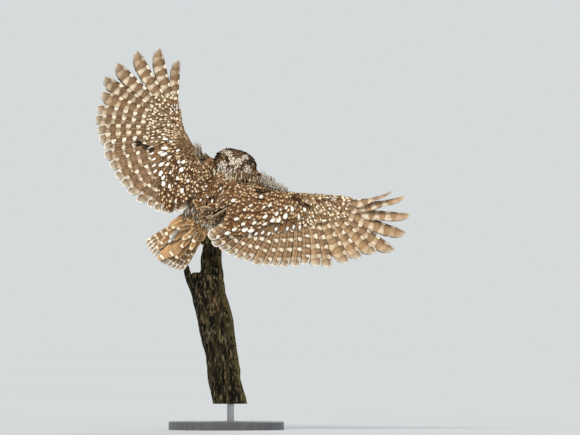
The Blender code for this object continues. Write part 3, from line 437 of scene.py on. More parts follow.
def quill_material():
    """Flight feathers: pale spots down the outer web, fainter bars across the inner one, and a grey tip."""
    graph = Graph("quill")
    _, side, chance = graph.parts(graph.read("vane").outputs["Vector"])
    from_tip, from_shaft, from_edge = graph.parts(graph.read("measure").outputs["Vector"])
    first, step, first_bar = graph.parts(graph.read("spot").outputs["Vector"])
    outer_dark, pale_tip_and_highlight, shaft_pale = graph.parts(graph.read("trim").outputs["Vector"])
    bar_half, spot_long, spot_wide = graph.parts(graph.read("spread").outputs["Vector"])
    ground = graph.read("ground").outputs["Color"]
    mark = graph.read("mark").outputs["Color"]
    wobble = graph.sum("SUBTRACT", graph.noise(300, 3.0), 0.5)
    ragged = graph.sum("SUBTRACT", graph.noise(620, 4.0), 0.5)
    place = graph.sum("DIVIDE", graph.sum("SUBTRACT", from_tip, first), step)
    place = graph.times(wobble, 0.26, place)
    row = graph.sum("ROUND", place)
    near = graph.times(graph.sum("SUBTRACT", place, row), step)
    allowed = graph.ramp(place, -0.45, -0.35)
    later = graph.ramp(row, 0.2, 0.8)
    allowed = graph.times(allowed, graph.times(later, graph.sum("SUBTRACT", 1.0, first_bar), first_bar))
    outside = graph.ramp(side, -0.02, 0.08)
    reach = graph.sum("ABSOLUTE", side)
    spot_side = graph.sum("DIVIDE", graph.sum("SUBTRACT", reach, 0.66), spot_wide)
    spot_along = graph.sum("DIVIDE", near, spot_long)
    spot = graph.times(spot_side, spot_side, graph.times(spot_along, spot_along))
    spot = graph.ramp(graph.times(ragged, 1.6, spot), 1.25, 0.55)
    spot = graph.times(spot, graph.ramp(graph.noise(170, 2.0), 0.32, 0.54, 0.6, 1.0))
    breadth = graph.times(graph.times(reach, 0.9, 0.6), bar_half)
    band = graph.sum("DIVIDE", graph.sum("ABSOLUTE", near), breadth)
    band = graph.ramp(graph.times(ragged, 1.3, band), 1.35, 0.55)
    band = graph.times(band, graph.ramp(reach, 0.08, 0.6, 0.35, 0.95))
    band = graph.times(band, graph.ramp(graph.noise(210, 2.0), 0.3, 0.55, 0.5, 1.0))
    pattern = graph.times(graph.mix(outside, band, spot), allowed)
    lines = barbs(graph, from_tip, from_shaft)
    level = graph.times(chance, 0.24, 0.86)
    level = graph.times(level, graph.times(lines, 0.07, 1.0))
    level = graph.times(level, graph.ramp(graph.noise(160, 3.0), 0.25, 0.8, 0.72, 1.16))
    colour = graph.mix(graph.times(outside, outer_dark), graph.scaled(ground, level), QUILL_EDGE)
    beside = graph.ramp(graph.sum("ABSOLUTE", from_shaft), 3.2, 0.8)
    colour = graph.mix(graph.times(beside, 0.45), colour, QUILL_EDGE)
    tip = graph.times(graph.ramp(from_tip, 13.0, 1.0), pale_tip_and_highlight)
    tip = graph.times(tip, graph.ramp(side, 0.6, -0.6, 0.35, 1.0))
    colour = graph.mix(tip, colour, QUILL_TIP)
    around = graph.ramp(graph.sum("ABSOLUTE", near), graph.sum("ADD", spot_long, 5.0), spot_long)
    around = graph.times(graph.times(around, allowed), graph.times(outside, 0.25, 0.3))
    colour = graph.mix(around, colour, DARK * 1.5)
    pale = graph.mix(outside, graph.mix(0.3, mark, BUFF), mark)
    colour = graph.mix(pattern, colour, pale)
    # A cream line along the inner web's edge: painted highlight
    edge_highlight = graph.times(graph.ramp(from_edge, 0.9, 0.3), graph.sum("SUBTRACT", 1.0, outside))
    colour = graph.mix(graph.times(edge_highlight, graph.times(pale_tip_and_highlight, 0.55)), colour, CREAM)
    # A white rim within a few millimetres of the edge near the tip: painted highlight
    rim = graph.ramp(from_edge, 2.5, 1.4)
    rim = graph.times(rim, graph.ramp(from_tip, 18.0, 8.0))
    rim = graph.times(rim, pale_tip_and_highlight)
    colour = graph.mix(rim, colour, WHITE)
    shaft = graph.ramp(graph.sum("ABSOLUTE", from_shaft), 0.6, 0.3)
    stem = graph.mix(shaft_pale, shade(96, 68, 46), shade(206, 180, 148))
    colour = graph.mix(graph.times(shaft, 0.85), colour, stem)
    graph.bump(lines, 0.06)
    return graph.finish(colour, 0.75, Sheen_Weight=0.05, Specular_IOR_Level=0.15)


def skin_material():
    """What shows between the feathers: their own colours, darker and mottled."""
    graph = Graph("down")
    mottle = graph.ramp(graph.noise(700, 4.0), 0.3, 0.7, 0.45, 0.85)
    colour = graph.scaled(graph.read("ground").outputs["Color"], mottle)
    graph.bump(graph.noise(1500, 3.0), 0.4)
    return graph.finish(colour, 0.9)


def skin_paint(points, normals):
    """The coat's markings at each place of the skin."""
    count = len(points)
    belly = smooth_step(0.2, -0.25, along(normals, DORSAL)[:, 0])
    ground = mixed(belly, np.broadcast_to(BROWN, (count, 3)), mixed([0.2], CREAM, BROWN)[0])
    for wing in WING.values():
        spans, _, lifts = wing.places(points).T
        over = (spans > 14) & (np.abs(lifts) < 14)
        under = smooth_step(0.2, -0.2, along(normals, wing.normal)[:, 0])
        ground[over] = mixed(under, np.broadcast_to(BROWN, (count, 3)), mixed([0.4], BUFF, CREAM)[0])[over]
    axis, _, _, start = tail_axes()
    on_tail = (points - start) @ axis > 4
    ground[on_tail] = mixed(belly, np.broadcast_to(LIT_TAIL_BROWN * 0.8, (count, 3)), CREAM)[on_tail]
    ground[points[:, 2] < 300] = CREAM * 0.85
    head = in_head(points)
    here = on_head(head)
    ground[here] = head_paint(head[here])[0]
    face = here & (head[:, 1] > FACE_FRONT)
    disc = smooth_step(19, 14, np.hypot(np.abs(head[:, 0]) - EYE_AT[0], head[:, 2] - 2))
    ground[face] = mixed(disc, ground, mixed([0.4], GREY, CREAM)[0])[face]
    return ground


def eye_material():
    """The iris is painted by the angle from the line of sight, kept on the mesh."""
    graph = Graph("eye")
    ring, turn, _ = graph.parts(graph.read("ring").outputs["Vector"])
    fibres = graph.node("ShaderNodeTexNoise", noise_dimensions="2D")
    where = graph.node("ShaderNodeCombineXYZ")
    graph.put(where.inputs[0], graph.times(turn, 30.0))
    graph.put(where.inputs[1], graph.times(ring, 3.0))
    graph.put(fibres.inputs["Vector"], where.outputs[0])
    graph.put(fibres.inputs["Scale"], 1.0)
    iris = graph.mix(fibres.outputs[0], shade(250, 212, 44), shade(222, 160, 22))
    iris = graph.mix(graph.ramp(ring, 0.66, 0.8), iris, shade(130, 78, 12))
    colour = graph.mix(graph.ramp(ring, 0.35, 0.375), shade(5, 4, 4), iris)
    colour = graph.mix(graph.ramp(ring, 0.84, 0.88), colour, shade(14, 10, 8))
    return graph.finish(colour, 0.1, Coat_Weight=0.35, Coat_Roughness=0.03, Specular_IOR_Level=0.3)


def lid_material():
    graph = Graph("lid")
    colour = graph.mix(graph.noise(2500, 3.0), shade(30, 25, 22), shade(62, 54, 48))
    graph.bump(graph.noise(3200, 2.0), 0.15)
    return graph.finish(colour, 0.5)


def horn_material(name, low, high, roughness):
    graph = Graph(name)
    tone = graph.ramp(graph.noise(500, 4.0, (1, 1, 0.35)), 0.3, 0.7)
    graph.bump(graph.noise(1600, 3.0, (1, 1, 0.2)), 0.08)
    return graph.finish(graph.mix(tone, low, high), roughness, Coat_Weight=0.25, Coat_Roughness=0.2)


def toe_material():
    graph = Graph("toe")
    scales = graph.node("ShaderNodeTexVoronoi")
    graph.put(scales.inputs["Vector"], graph.place())
    graph.put(scales.inputs["Scale"], 1100.0)
    colour = graph.mix(graph.noise(600, 3.0), shade(146, 130, 106), shade(182, 166, 138))
    colour = graph.mix(graph.ramp(scales.outputs["Distance"], 0.5, 0.9), colour, shade(112, 96, 76))
    graph.bump(scales.outputs["Distance"], -0.2)
    return graph.finish(colour, 0.6)


def bark_material():
    """Dark furrowed dead wood with black cracks, pale flecks, a small worn patch and lichen down one edge."""
    graph = Graph("bark")
    fibre = graph.noise(190, 8.0, (1, 1, 0.16))
    grain = graph.noise(620, 5.0, (1, 1, 0.12))
    colour = graph.mix(graph.ramp(fibre, 0.42, 0.62), shade(13, 11, 6), shade(62, 53, 33))
    flecks = graph.ramp(graph.noise(300, 5.0, (1, 1, 0.3)), 0.55, 0.62)
    colour = graph.mix(graph.times(flecks, 0.65), colour, shade(134, 119, 88))
    cracks = graph.ramp(grain, 0.48, 0.38)
    colour = graph.mix(graph.times(cracks, 0.85), colour, shade(12, 9, 6))
    worn = graph.ramp(graph.read("worn").outputs["Fac"], 0.45, 0.9)
    worn = graph.times(worn, graph.ramp(graph.noise(260, 4.0, (1, 1, 0.25)), 0.42, 0.66, 0.0, 0.55))
    colour = graph.mix(worn, colour, shade(116, 82, 58))
    lichen = graph.times(graph.ramp(graph.read("lichen").outputs["Fac"], 0.35, 1.0),
                       graph.ramp(graph.noise(340, 5.0), 0.42, 0.56))
    colour = graph.mix(graph.times(lichen, 0.8), colour, shade(112, 100, 58))
    height = graph.times(fibre, 1.4, grain)
    graph.bump(height, 0.9)
    return graph.finish(colour, 0.92, Specular_IOR_Level=0.15)


def moss_material():
    graph = Graph("moss")
    colour = graph.mix(graph.ramp(graph.noise(500, 3.0), 0.35, 0.65), shade(58, 64, 14), shade(132, 130, 44))
    return graph.finish(colour, 0.85, Sheen_Weight=0.3)


def stand_material():
    """Turned wood under dark satin paint, whose rings and pores show faintly."""
    graph = Graph("stand")
    rings = graph.node("ShaderNodeTexWave", wave_type="RINGS", rings_direction="X")
    graph.put(rings.inputs["Vector"], graph.place((0.25, 1, 1)))
    graph.put(rings.inputs["Scale"], 42.0)
    graph.put(rings.inputs["Distortion"], 3.0)
    graph.put(rings.inputs["Detail"], 3.0)
    pores = graph.noise(900, 4.0, (0.08, 1, 1))
    colour = graph.mix(rings.outputs["Fac"], shade(84, 84, 88), shade(94, 94, 98))
    graph.bump(pores, 0.08)
    return graph.finish(colour, 0.45)


def rod_material():
    graph = Graph("rod")
    lines = graph.noise(2200, 3.0, (1, 1, 0.02))
    graph.bump(lines, 0.03)
    return graph.finish(graph.mix(lines, shade(150, 150, 152), shade(190, 190, 192)), 0.32, Metallic=1.0)


# Meshes

def write_mesh(name, points, faces, material, uvs=None, values=None):
    """faces holds an array of corners for each kind of face, and uvs a row for each corner."""
    mesh = bpy.data.meshes.new(name)
    points = np.asarray(points, float) * MM
    corners = np.concatenate([np.asarray(group).reshape(-1) for group in faces])
    sizes = np.concatenate([np.full(len(group), np.asarray(group).shape[1]) for group in faces])
    mesh.vertices.add(len(points))
    mesh.vertices.foreach_set("co", points.astype(np.float32).ravel())
    mesh.loops.add(len(corners))
    mesh.loops.foreach_set("vertex_index", corners.astype(np.int32))
    mesh.polygons.add(len(sizes))
    starts = np.concatenate([[0], np.cumsum(sizes)[:-1]])
    mesh.polygons.foreach_set("loop_start", starts.astype(np.int32))
    mesh.update(calc_edges=True)
    mesh.polygons.foreach_set("use_smooth", np.ones(len(sizes), bool))
    if uvs is not None:
        layer = mesh.uv_layers.new(name="OFBake")
        layer.data.foreach_set("uv", np.asarray(uvs, np.float32).ravel())
    for key, value in (values or {}).items():
        kind = "FLOAT" if value.ndim == 1 else "FLOAT_VECTOR"
        if key in ("ground", "mark"):
            kind = "FLOAT_COLOR"
            value = np.concatenate([value, np.ones((len(value), 1))], axis=1)
        layer = mesh.attributes.new(key, kind, "POINT")
        layer.data.foreach_set({"FLOAT": "value", "FLOAT_VECTOR": "vector", "FLOAT_COLOR": "color"}[kind],
                               value.astype(np.float32).ravel())
    mesh.materials.append(material)
    mesh.validate()
    made = bpy.data.objects.new(name, mesh)
    bpy.context.scene.collection.objects.link(made)
    return made


def write_shape(name, shape, material, values=None):
    """A mesh from a shape's points, four-sided faces and three-sided ones."""
    points, quads, caps = shape
    return write_mesh(name, points, [quads, caps], material, values=values)


def place_piece(piece, slot, *nodes):
    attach(piece, "root")
    if nodes:
        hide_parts(*nodes)


def ring_of(middle, wide, deep, sides, squareness=2.0):
    angle = 2 * math.pi * np.arange(sides)[:, None] / sides
    x, y = np.cos(angle), np.sin(angle)
    power = 2 / squareness
    return middle + wide * np.sign(x) * np.abs(x) ** power + deep * np.sign(y) * np.abs(y) ** power


def loft(rings, start_tip=None, end_tip=None):
    """Points and triangles of a closed surface through rings."""
    rings = np.array(rings)
    rows, count = rings.shape[:2]
    start_tip = rings[0].mean(axis=0) if start_tip is None else start_tip
    end_tip = rings[-1].mean(axis=0) if end_tip is None else end_tip
    points = np.vstack([rings.reshape(-1, 3), start_tip, end_tip])
    column = np.arange(count)
    beside = (column + 1) % count
    quads = []
    for row in range(rows - 1):
        low, high = row * count, (row + 1) * count
        quads.append(np.stack([low + column, low + beside, high + beside, high + column], axis=1))
    quads = np.vstack(quads)
    start, end, last = rows * count, rows * count + 1, (rows - 1) * count
    caps = np.vstack([np.stack([np.full(count, start), beside, column], axis=1),
                      np.stack([np.full(count, end), last + column, last + beside], axis=1)])
    return points, quads, caps


def limb(path, radii, sides):
    path = np.asarray(path, float)
    side = np.array([0.31, -0.95, 0.05])
    rings = []
    for index, radius in enumerate(radii):
        heading = unit(path[min(index + 1, len(path) - 1)] - path[max(index - 1, 0)])
        side = square_to(side, heading)
        rings.append(ring_of(path[index], side * radius, np.cross(heading, side) * radius, sides))
    return loft(rings)


def fine_path(points, steps):
    """A smooth path through these points, with this many places on it, by Catmull and Rom's rule."""
    points = np.asarray(points, float)
    padded = np.vstack([2 * points[0] - points[1], points, 2 * points[-1] - points[-2]])
    found = []
    for place in np.linspace(0, len(points) - 1, steps):
        index = min(int(place), len(points) - 2)
        t = place - index
        a, b, c, d = padded[index:index + 4]
        found.append(0.5 * (2 * b + (c - a) * t + (2 * a - 5 * b + 4 * c - d) * t * t
                            + (3 * b - a - 3 * c + d) * t ** 3))
    return np.array(found)


def triangles_of(shape):
    _, quads, caps = shape
    return np.vstack([quads[:, [0, 1, 2]], quads[:, [0, 2, 3]], caps])


def outward(shape):
    """The shape with its faces turned to look outwards."""
    points, quads, caps = shape
    corners = points[triangles_of(shape)]
    volume = np.sum(corners[:, 0] * np.cross(corners[:, 1], corners[:, 2]))
    return shape if volume > 0 else (points, quads[:, ::-1], caps[:, ::-1])


def join_shapes(shapes):
    points, quads, caps = [], [], []
    count = 0
    for shape in shapes:
        own, faces, ends = outward(shape)
        points.append(own)
        quads.append(faces + count)
        caps.append(ends + count)
        count += len(own)
    return np.vstack(points), np.vstack(quads), np.vstack(caps)


# Flesh

def torso_shape(depth):
    rings = []
    places = np.linspace(TORSO_RINGS[0][0], TORSO_RINGS[-1][0], 40)
    for place in places:
        wide, deep = table_at(TORSO_RINGS, place)
        rings.append(ring_of(body_point(0, place, 0), RIGHT * max(2.0, wide - depth),
                             DORSAL * max(2.0, deep - depth), 56, 2.1))
    return loft(rings)


def neck_shape(depth):
    _, wide, deep = TORSO_RINGS[-1]
    low = ring_of(body_point(0, TORSO_RINGS[-1][0] - 8, 0), RIGHT * (wide - depth), DORSAL * (deep - depth),
                  56, 2.1)
    high = ring_of(head_point(0, -1, -8), HEAD_RIGHT * (24 - depth), -HEAD_FORWARD * (20.5 - depth), 56)
    rings = []
    for share in np.linspace(0, 1, 16):
        between = low + (high - low) * share
        outwards = between - between.mean(axis=0)
        rings.append(between + outwards * 0.05 * math.sin(math.pi * share))
    return loft(rings)


def face_relief(x, z):
    hollow = sum(math.exp(-((x - side * 12.5) ** 2 + (z - 1) ** 2) / 110) for side in (-1, 1))
    ridge = math.exp(-(x / 4.2) ** 2) * smooth_step(-15, -3, z)
    rim = math.exp(-((math.hypot(x / 27, z / 19) - 0.96) / 0.1) ** 2)
    return -2.6 * hollow + 2.2 * ridge + 1.3 * rim


def head_shape(depth):
    sides, rows = 64, 40
    rings = []
    for row in range(1, rows):
        angle = math.pi * row / rows
        ring = []
        for step in range(sides):
            turn = 2 * math.pi * step / sides
            x = math.sin(angle) * math.cos(turn)
            z = math.sin(angle) * math.sin(turn)
            y = -math.cos(angle)
            length = HEAD_FRONT if y > 0 else HEAD_BACK
            scale = (abs(x / HEAD_HALF_WIDTH) ** HEAD_SQUARENESS + abs(y / length) ** HEAD_SQUARENESS
                     + abs(z / HEAD_HALF_HEIGHT) ** HEAD_SQUARENESS) ** (-1 / HEAD_SQUARENESS)
            scale *= 1 - depth / 26
            x, y, z = x * scale, y * scale, z * scale
            if y > 0:
                y += face_relief(x, z) * smooth_step(2, 10, y)
            ring.append(head_point(x, y, max(z, -HEAD_UNDERSIDE - 3)))
        rings.append(ring)
    return loft(rings)


def brow_shape(side):
    start = head_point(side * 2.2, 17.6, 3.6)
    middle = head_point(side * 12.5, 15.2, 9.6)
    end = head_point(side * 22, 8.8, 8.5)
    path = [bezier(start, middle * 2 - (start + end) / 2, end, share) for share in np.linspace(0, 1, 12)]
    radii = np.interp(np.linspace(0, 1, 12), (0, 0.25, 0.5, 0.75, 1), (1.2, 2.1, 2.6, 2.2, 1.2))
    return limb(path, radii, 12)


class Wing:
    """The plane of a wing and the places on it, by span, chord and lift from the shoulder."""

    def __init__(self, name):
        shape = WINGS[name]
        self.side = shape["side"]
        self.shape = shape
        out, ahead, up = WING_SPAN
        self.span = unit(self.side * out * RIGHT + ahead * FORWARD + up * DORSAL)
        level = square_to(-FORWARD, self.span)
        upward = np.cross(self.span, -level) * self.side
        tilt = math.radians(shape["incidence"])
        self.chord = level * math.cos(tilt) + upward * math.sin(tilt)
        self.normal = upward * math.cos(tilt) - level * math.sin(tilt)
        right, forward, dorsal = SHOULDER
        self.shoulder = body_point(self.side * right, forward, dorsal)

    def point(self, span, chord, lift=0.0):
        return self.shoulder + span * self.span + chord * self.chord + lift * self.normal

    def places(self, points):
        return (np.asarray(points) - self.shoulder) @ np.array([self.span, self.chord, self.normal]).T

    def edge(self, span):
        return table_at(self.shape["leading_edge"], span)[0]

    def root(self, number):
        if number < PRIMARIES:
            share = number / (PRIMARIES - 1)
            span = HAND_SPAN + (WRIST_SPAN + 3 - HAND_SPAN) * share
            return span, self.edge(span) + 6.5 + 3 * share
        share = (number - PRIMARIES) / (FLIGHT_FEATHERS - PRIMARIES - 1)
        span = WRIST_SPAN - 3 + (ELBOW_SPAN - 18 - WRIST_SPAN) * share
        return span, self.edge(span) + 11 + (ELBOW_CHORD - 11) * min(1.0, share * 1.35)

    def tip(self, number):
        return table_at(self.shape["tips"], number)

    def twist(self, number):
        return table_at(self.shape["twist"], number)[0]

    def lead(self, heading):
        return self.side * np.cross(self.normal, heading)


WING = {name: Wing(name) for name in WINGS}


def wing_core(wing, share):
    """The flesh of the wing; share is how much of the solid's thickness and chord it keeps."""
    rings = []
    for span in np.linspace(WING_CORE[0][0], WING_CORE[-1][0], 46):
        chord, thick = table_at(WING_CORE, span)
        ahead = table_at(wing.shape["shoulder"], span)[0]
        start = wing.edge(span) - ahead + (1 - share) * 3.5
        chord += ahead
        slant = wing.shape["root_slant"] * max(0.0, 1 - (span - WING_CORE[0][0]) / WING_ROOT_REACH)
        ring = []
        for step in range(28):
            angle = 2 * math.pi * step / 28
            back = (1 - math.cos(angle)) / 2
            height = math.sin(angle) * thick * share / 2 * (1.12 - 0.5 * back)
            ring.append(wing.point(span - slant * back, start + chord * share * back,
                                   height + 0.8 * math.sin(math.pi * back)))
        rings.append(ring)
    return loft(rings)


def tail_axes():
    axis = unit(TAIL_AXIS)
    sideways = square_to(np.array(TAIL_SIDEWAYS), axis)
    return axis, sideways, np.cross(sideways, -axis), body_point(*TAIL_ROOT)


# Rings of the tail's flesh: place along it, half breadth, half depth and lift
TAIL_RINGS = ((-16, 12, 11, -2), (-2, 13, 10, -2), (12, 11.5, 7, -2), (24, 9, 4, -1.6))


def tail_core(share):
    axis, sideways, normal, start = tail_axes()
    rings = []
    for place in np.linspace(TAIL_RINGS[0][0], TAIL_RINGS[-1][0], 14):
        wide, deep, lift = table_at(TAIL_RINGS, place)
        rings.append(ring_of(start + place * axis + lift * normal, sideways * wide * share,
                             normal * deep * share, 28))
    return loft(rings)


def thigh_shape(leg, depth):
    hip = BODY_CENTRE + np.array(leg["hip"], float)
    ankle = BODY_CENTRE + np.array(leg["ankle"], float)
    places = np.linspace(0, 1.12, 16)
    radii = np.interp(places, (0, 0.3, 0.6, 0.85, 1.0, 1.12), (9.5, 10.5, 8.5, 6.2, 4.8, 2.6)) - depth
    return limb([hip + (ankle - hip) * place for place in places], np.maximum(radii, 1.2), 24)


def shank_shape(leg, depth):
    ankle = BODY_CENTRE + np.array(leg["ankle"], float)
    foot = BODY_CENTRE + np.array(leg["foot"], float)
    places = np.linspace(0, 1, 12)
    radii = np.interp(places, (0, 0.5, 1), (4.6, 3.8, 3.4)) - depth
    return limb([ankle + (foot - ankle) * place for place in places], radii, 20)


# Soft lumps of plumage beside the neck: across and down in the photograph, how far away, and radius
RUFFS = (((203, 178, -20, 9), (208, 168, -16, 9.5), (213, 160, -11, 8)),
         ((247, 168, -6, 9), (254, 178, -12, 10), (262, 189, -13, 8), (268, 192, -14, 6)))


def ruff_shape(stations):
    fine = fine_path(np.array(stations, float), 14)
    return limb([photo_point(*row[:3]) for row in fine], fine[:, 3], 20)


FLESH = {"torso": torso_shape(3.2), "neck": neck_shape(2.6), "head": head_shape(2.0), "tail": tail_core(0.82),
         "ruff_left": ruff_shape(RUFFS[0]), "ruff_right": ruff_shape(RUFFS[1])}
for _name, _side in (("left", -1), ("right", 1)):
    FLESH[f"wing_{_name}"] = wing_core(WING[_name], 0.8)
    FLESH[f"thigh_{_name}"] = thigh_shape(LEGS[_name], 2.2)
    FLESH[f"shank_{_name}"] = shank_shape(LEGS[_name], 1.0)
    FLESH[f"brow_{_name}"] = brow_shape(_side)


# Unwrap

# Each part of the flesh has its own field of the map, given by its corner and its size
CHART_GAP = 0.012
CHARTS = {"torso": (0, 0, 0.5, 0.34), "head_back": (0.5, 0, 0.25, 0.25), "head_front": (0.75, 0, 0.25, 0.25),
          "wing_right_top": (0, 0.34, 0.5, 0.16), "wing_right_under": (0.5, 0.34, 0.5, 0.16),
          "wing_left_top": (0, 0.5, 0.5, 0.16), "wing_left_under": (0.5, 0.5, 0.5, 0.16),
          "tail": (0, 0.66, 0.3, 0.2), "leg_left": (0.3, 0.66, 0.35, 0.2),
          "leg_right": (0.65, 0.66, 0.35, 0.2)}


def chart_of(points, normals, centre_points=None):
    """Which field each point belongs to, and its place there from 0 to 1.

    centre_points are the middles of the faces that the points belong to, which settle the field and the side
    of an angle's seam, so that no face is torn.
    """
    points = np.asarray(points, float)
    middle = points if centre_points is None else np.asarray(centre_points, float)
    count = len(points)
    field = np.full(count, "torso", dtype=object)
    place = np.zeros((count, 2))
    body, body_middle = in_body(points), in_body(middle)
    turn_middle = np.arctan2(body_middle[:, 0], body_middle[:, 2])
    turn = np.arctan2(body[:, 0], body[:, 2])
    turn = turn_middle + (turn - turn_middle + math.pi) % (2 * math.pi) - math.pi
    place[:, 0] = turn / (2 * math.pi) + 0.5
    place[:, 1] = (body[:, 1] + 60) / 105
    for name, wing in WING.items():
        where, where_middle = wing.places(points), wing.places(middle)
        chosen = (where_middle[:, 0] > 4) & (np.abs(where_middle[:, 2]) < 13)
        upper = along(normals, wing.normal)[:, 0] > 0
        for side, picked in (("top", chosen & upper), ("under", chosen & ~upper)):
            field[picked] = f"wing_{name}_{side}"
            place[picked, 0] = (where[picked, 0] + 5) / 140
            place[picked, 1] = (where[picked, 1] + 20) / 75
    axis, sideways, _, start = tail_axes()
    reach, reach_middle = (points - start) @ axis, (middle - start) @ axis
    chosen = reach_middle > 4
    field[chosen] = "tail"
    place[chosen, 0] = reach[chosen] / 34
    place[chosen, 1] = ((points - start) @ sideways)[chosen] / 34 + 0.5
    for name, leg in LEGS.items():
        ankle = BODY_CENTRE + np.array(leg["ankle"], float)
        own_side = (middle[:, 0] < -20.5) if name == "left" else (middle[:, 0] >= -20.5)
        chosen = (middle[:, 2] < 296) & own_side & (np.abs(middle[:, 0] - ankle[0]) < 16)
        chosen &= (reach_middle < 14) & (np.abs(body_middle[:, 0]) < 60)
        angle_middle = np.arctan2(middle[:, 0] - ankle[0], ankle[1] - middle[:, 1])
        angle = np.arctan2(points[:, 0] - ankle[0], ankle[1] - points[:, 1])
        angle = angle_middle + (angle - angle_middle + math.pi) % (2 * math.pi) - math.pi
        field[chosen] = f"leg_{name}"
        place[chosen, 0] = angle[chosen] / (2 * math.pi) + 0.5
        place[chosen, 1] = (points[chosen, 2] - 262) / 50
    head, head_middle = in_head(points), in_head(middle)
    chosen = on_head(head_middle)
    angle = np.arctan2(head[:, 2], head[:, 0])
    out = np.arctan2(np.hypot(head[:, 0], head[:, 2]), np.abs(head[:, 1]))
    front = chosen & (head_middle[:, 1] > 0)
    out = np.where(head_middle[:, 1] * head[:, 1] < 0, math.pi - out, out)
    spread = np.stack([out * np.cos(angle), out * np.sin(angle)], axis=1) / 4.2 + 0.5
    field[chosen] = "head_back"
    field[front] = "head_front"
    place[chosen] = spread[chosen]
    corner = np.array([CHARTS[name][:2] for name in field])
    size = np.array([CHARTS[name][2:] for name in field])
    inner = np.clip(place, -0.02, 1.02)
    return corner + CHART_GAP + inner * (size - 2 * CHART_GAP)


def make_skin():
    shape = join_shapes(FLESH.values())
    rough = write_shape("rough", shape, SKIN)
    remesh = rough.modifiers.new("one", "REMESH")
    remesh.mode = "VOXEL"
    remesh.voxel_size = 1.15 * MM
    soften = rough.modifiers.new("soft", "SMOOTH")
    soften.iterations = 4
    soften.factor = 0.5
    bpy.context.view_layer.update()
    evaluated = rough.evaluated_get(bpy.context.evaluated_depsgraph_get())
    mesh = evaluated.to_mesh()
    points = np.zeros(len(mesh.vertices) * 3)
    mesh.vertices.foreach_get("co", points)
    points = points.reshape(-1, 3) / MM
    sizes = np.zeros(len(mesh.polygons), np.int32)
    mesh.polygons.foreach_get("loop_total", sizes)
    corners = np.zeros(len(mesh.loops), np.int32)
    mesh.loops.foreach_get("vertex_index", corners)
    evaluated.to_mesh_clear()
    bpy.data.objects.remove(rough)
    quads = corners.reshape(-1, 4)
    if np.any(sizes != 4):
        raise ValueError("the skin has faces that aren't quads")
    middles = points[quads].mean(axis=1)
    edges = np.cross(points[quads[:, 2]] - points[quads[:, 0]], points[quads[:, 3]] - points[quads[:, 1]])
    normals = unit(edges + 1e-12)
    uvs = chart_of(points[quads].reshape(-1, 3), np.repeat(normals, 4, axis=0), np.repeat(middles, 4, axis=0))
    point_normals = np.zeros_like(points)
    for corner in range(4):
        np.add.at(point_normals, quads[:, corner], normals)
    values = {"ground": skin_paint(points, unit(point_normals + 1e-9))}
    skin = write_mesh("skin", points, [quads], SKIN, uvs, values)
    tree = BVHTree.FromPolygons(points.tolist(), quads.tolist())
    return skin, tree


# Feathers

# What a feather's points tell its material. vane is the share of the length, the place across and a number
# drawn for the feather; measure is millimetres from the tip, the shaft and the nearest edge. The others are
# the same all over a feather: two colours and three rows of numbers that the materials name.
VALUE_NAMES = ("vane", "measure", "ground", "mark", "spot", "spread", "trim")


class Coat:
    """Feathers gathered into one mesh."""

    def __init__(self):
        self.points, self.faces, self.uvs = [], [], []
        self.values = {name: [] for name in VALUE_NAMES}
        self.count = 0

    def add(self, points, faces, uvs, values):
        self.points.append(points)
        self.faces.append(faces + self.count)
        self.uvs.append(uvs)
        for name in VALUE_NAMES:
            self.values[name].append(values[name])
        self.count += len(points)

    def make(self, name, material, slot="plumage"):
        values = {key: np.concatenate(value) for key, value in self.values.items()}
        piece = write_mesh(name, np.concatenate(self.points), [np.concatenate(self.faces)], material,
                           np.concatenate(self.uvs), values)
        place_piece(piece, slot)


def blade_faces(rows, columns):
    """Corner numbers of a closed blade: a grid on top, and below it a grid that shares its border."""
    top = np.arange(rows * columns).reshape(rows, columns)
    below = top.copy()
    inner = (rows - 2) * (columns - 2)
    below[1:-1, 1:-1] = rows * columns + np.arange(inner).reshape(rows - 2, columns - 2)

    def quads(grid):
        return np.stack([grid[:-1, :-1], grid[:-1, 1:], grid[1:, 1:], grid[1:, :-1]], axis=-1).reshape(-1, 4)

    return quads(top), quads(below)[:, ::-1]


def blade_points(top, lower):
    """The points of blades whose top grids are given, with the inner points of the lower grids."""
    count = len(top)
    inner = lower[:, 1:-1, 1:-1].reshape(count, -1, 3)
    return np.concatenate([top.reshape(count, -1, 3), inner], axis=1)


def per_point(grid):
    """A value for each point of the top grid and of the inner lower grid."""
    count, size = grid.shape[0], grid.shape[-1]
    inner = grid[:, 1:-1, 1:-1].reshape(count, -1, size)
    return np.concatenate([grid.reshape(count, -1, size), inner], axis=1)


# Kinds of small feather: shares of the length, the breadth at each, and how many points lie across
TUFT = {
    "broad": ((0, 0.18, 0.38, 0.56, 0.72, 0.84, 0.92, 0.975, 1.0),
              (0.42, 0.78, 0.97, 1.0, 0.94, 0.8, 0.62, 0.36, 0.1), 7),
    "rounded": ((0, 0.3, 0.58, 0.8, 0.93, 1.0), (0.4, 0.86, 1.0, 0.86, 0.56, 0.14), 3),
    "pointed": ((0, 0.25, 0.55, 0.8, 1.0), (0.5, 0.95, 0.86, 0.5, 0.06), 3),
    "strand": ((0, 0.35, 0.7, 1.0), (0.8, 1.0, 0.6, 0.05), 3),
}
SHEET_ROWS = 24


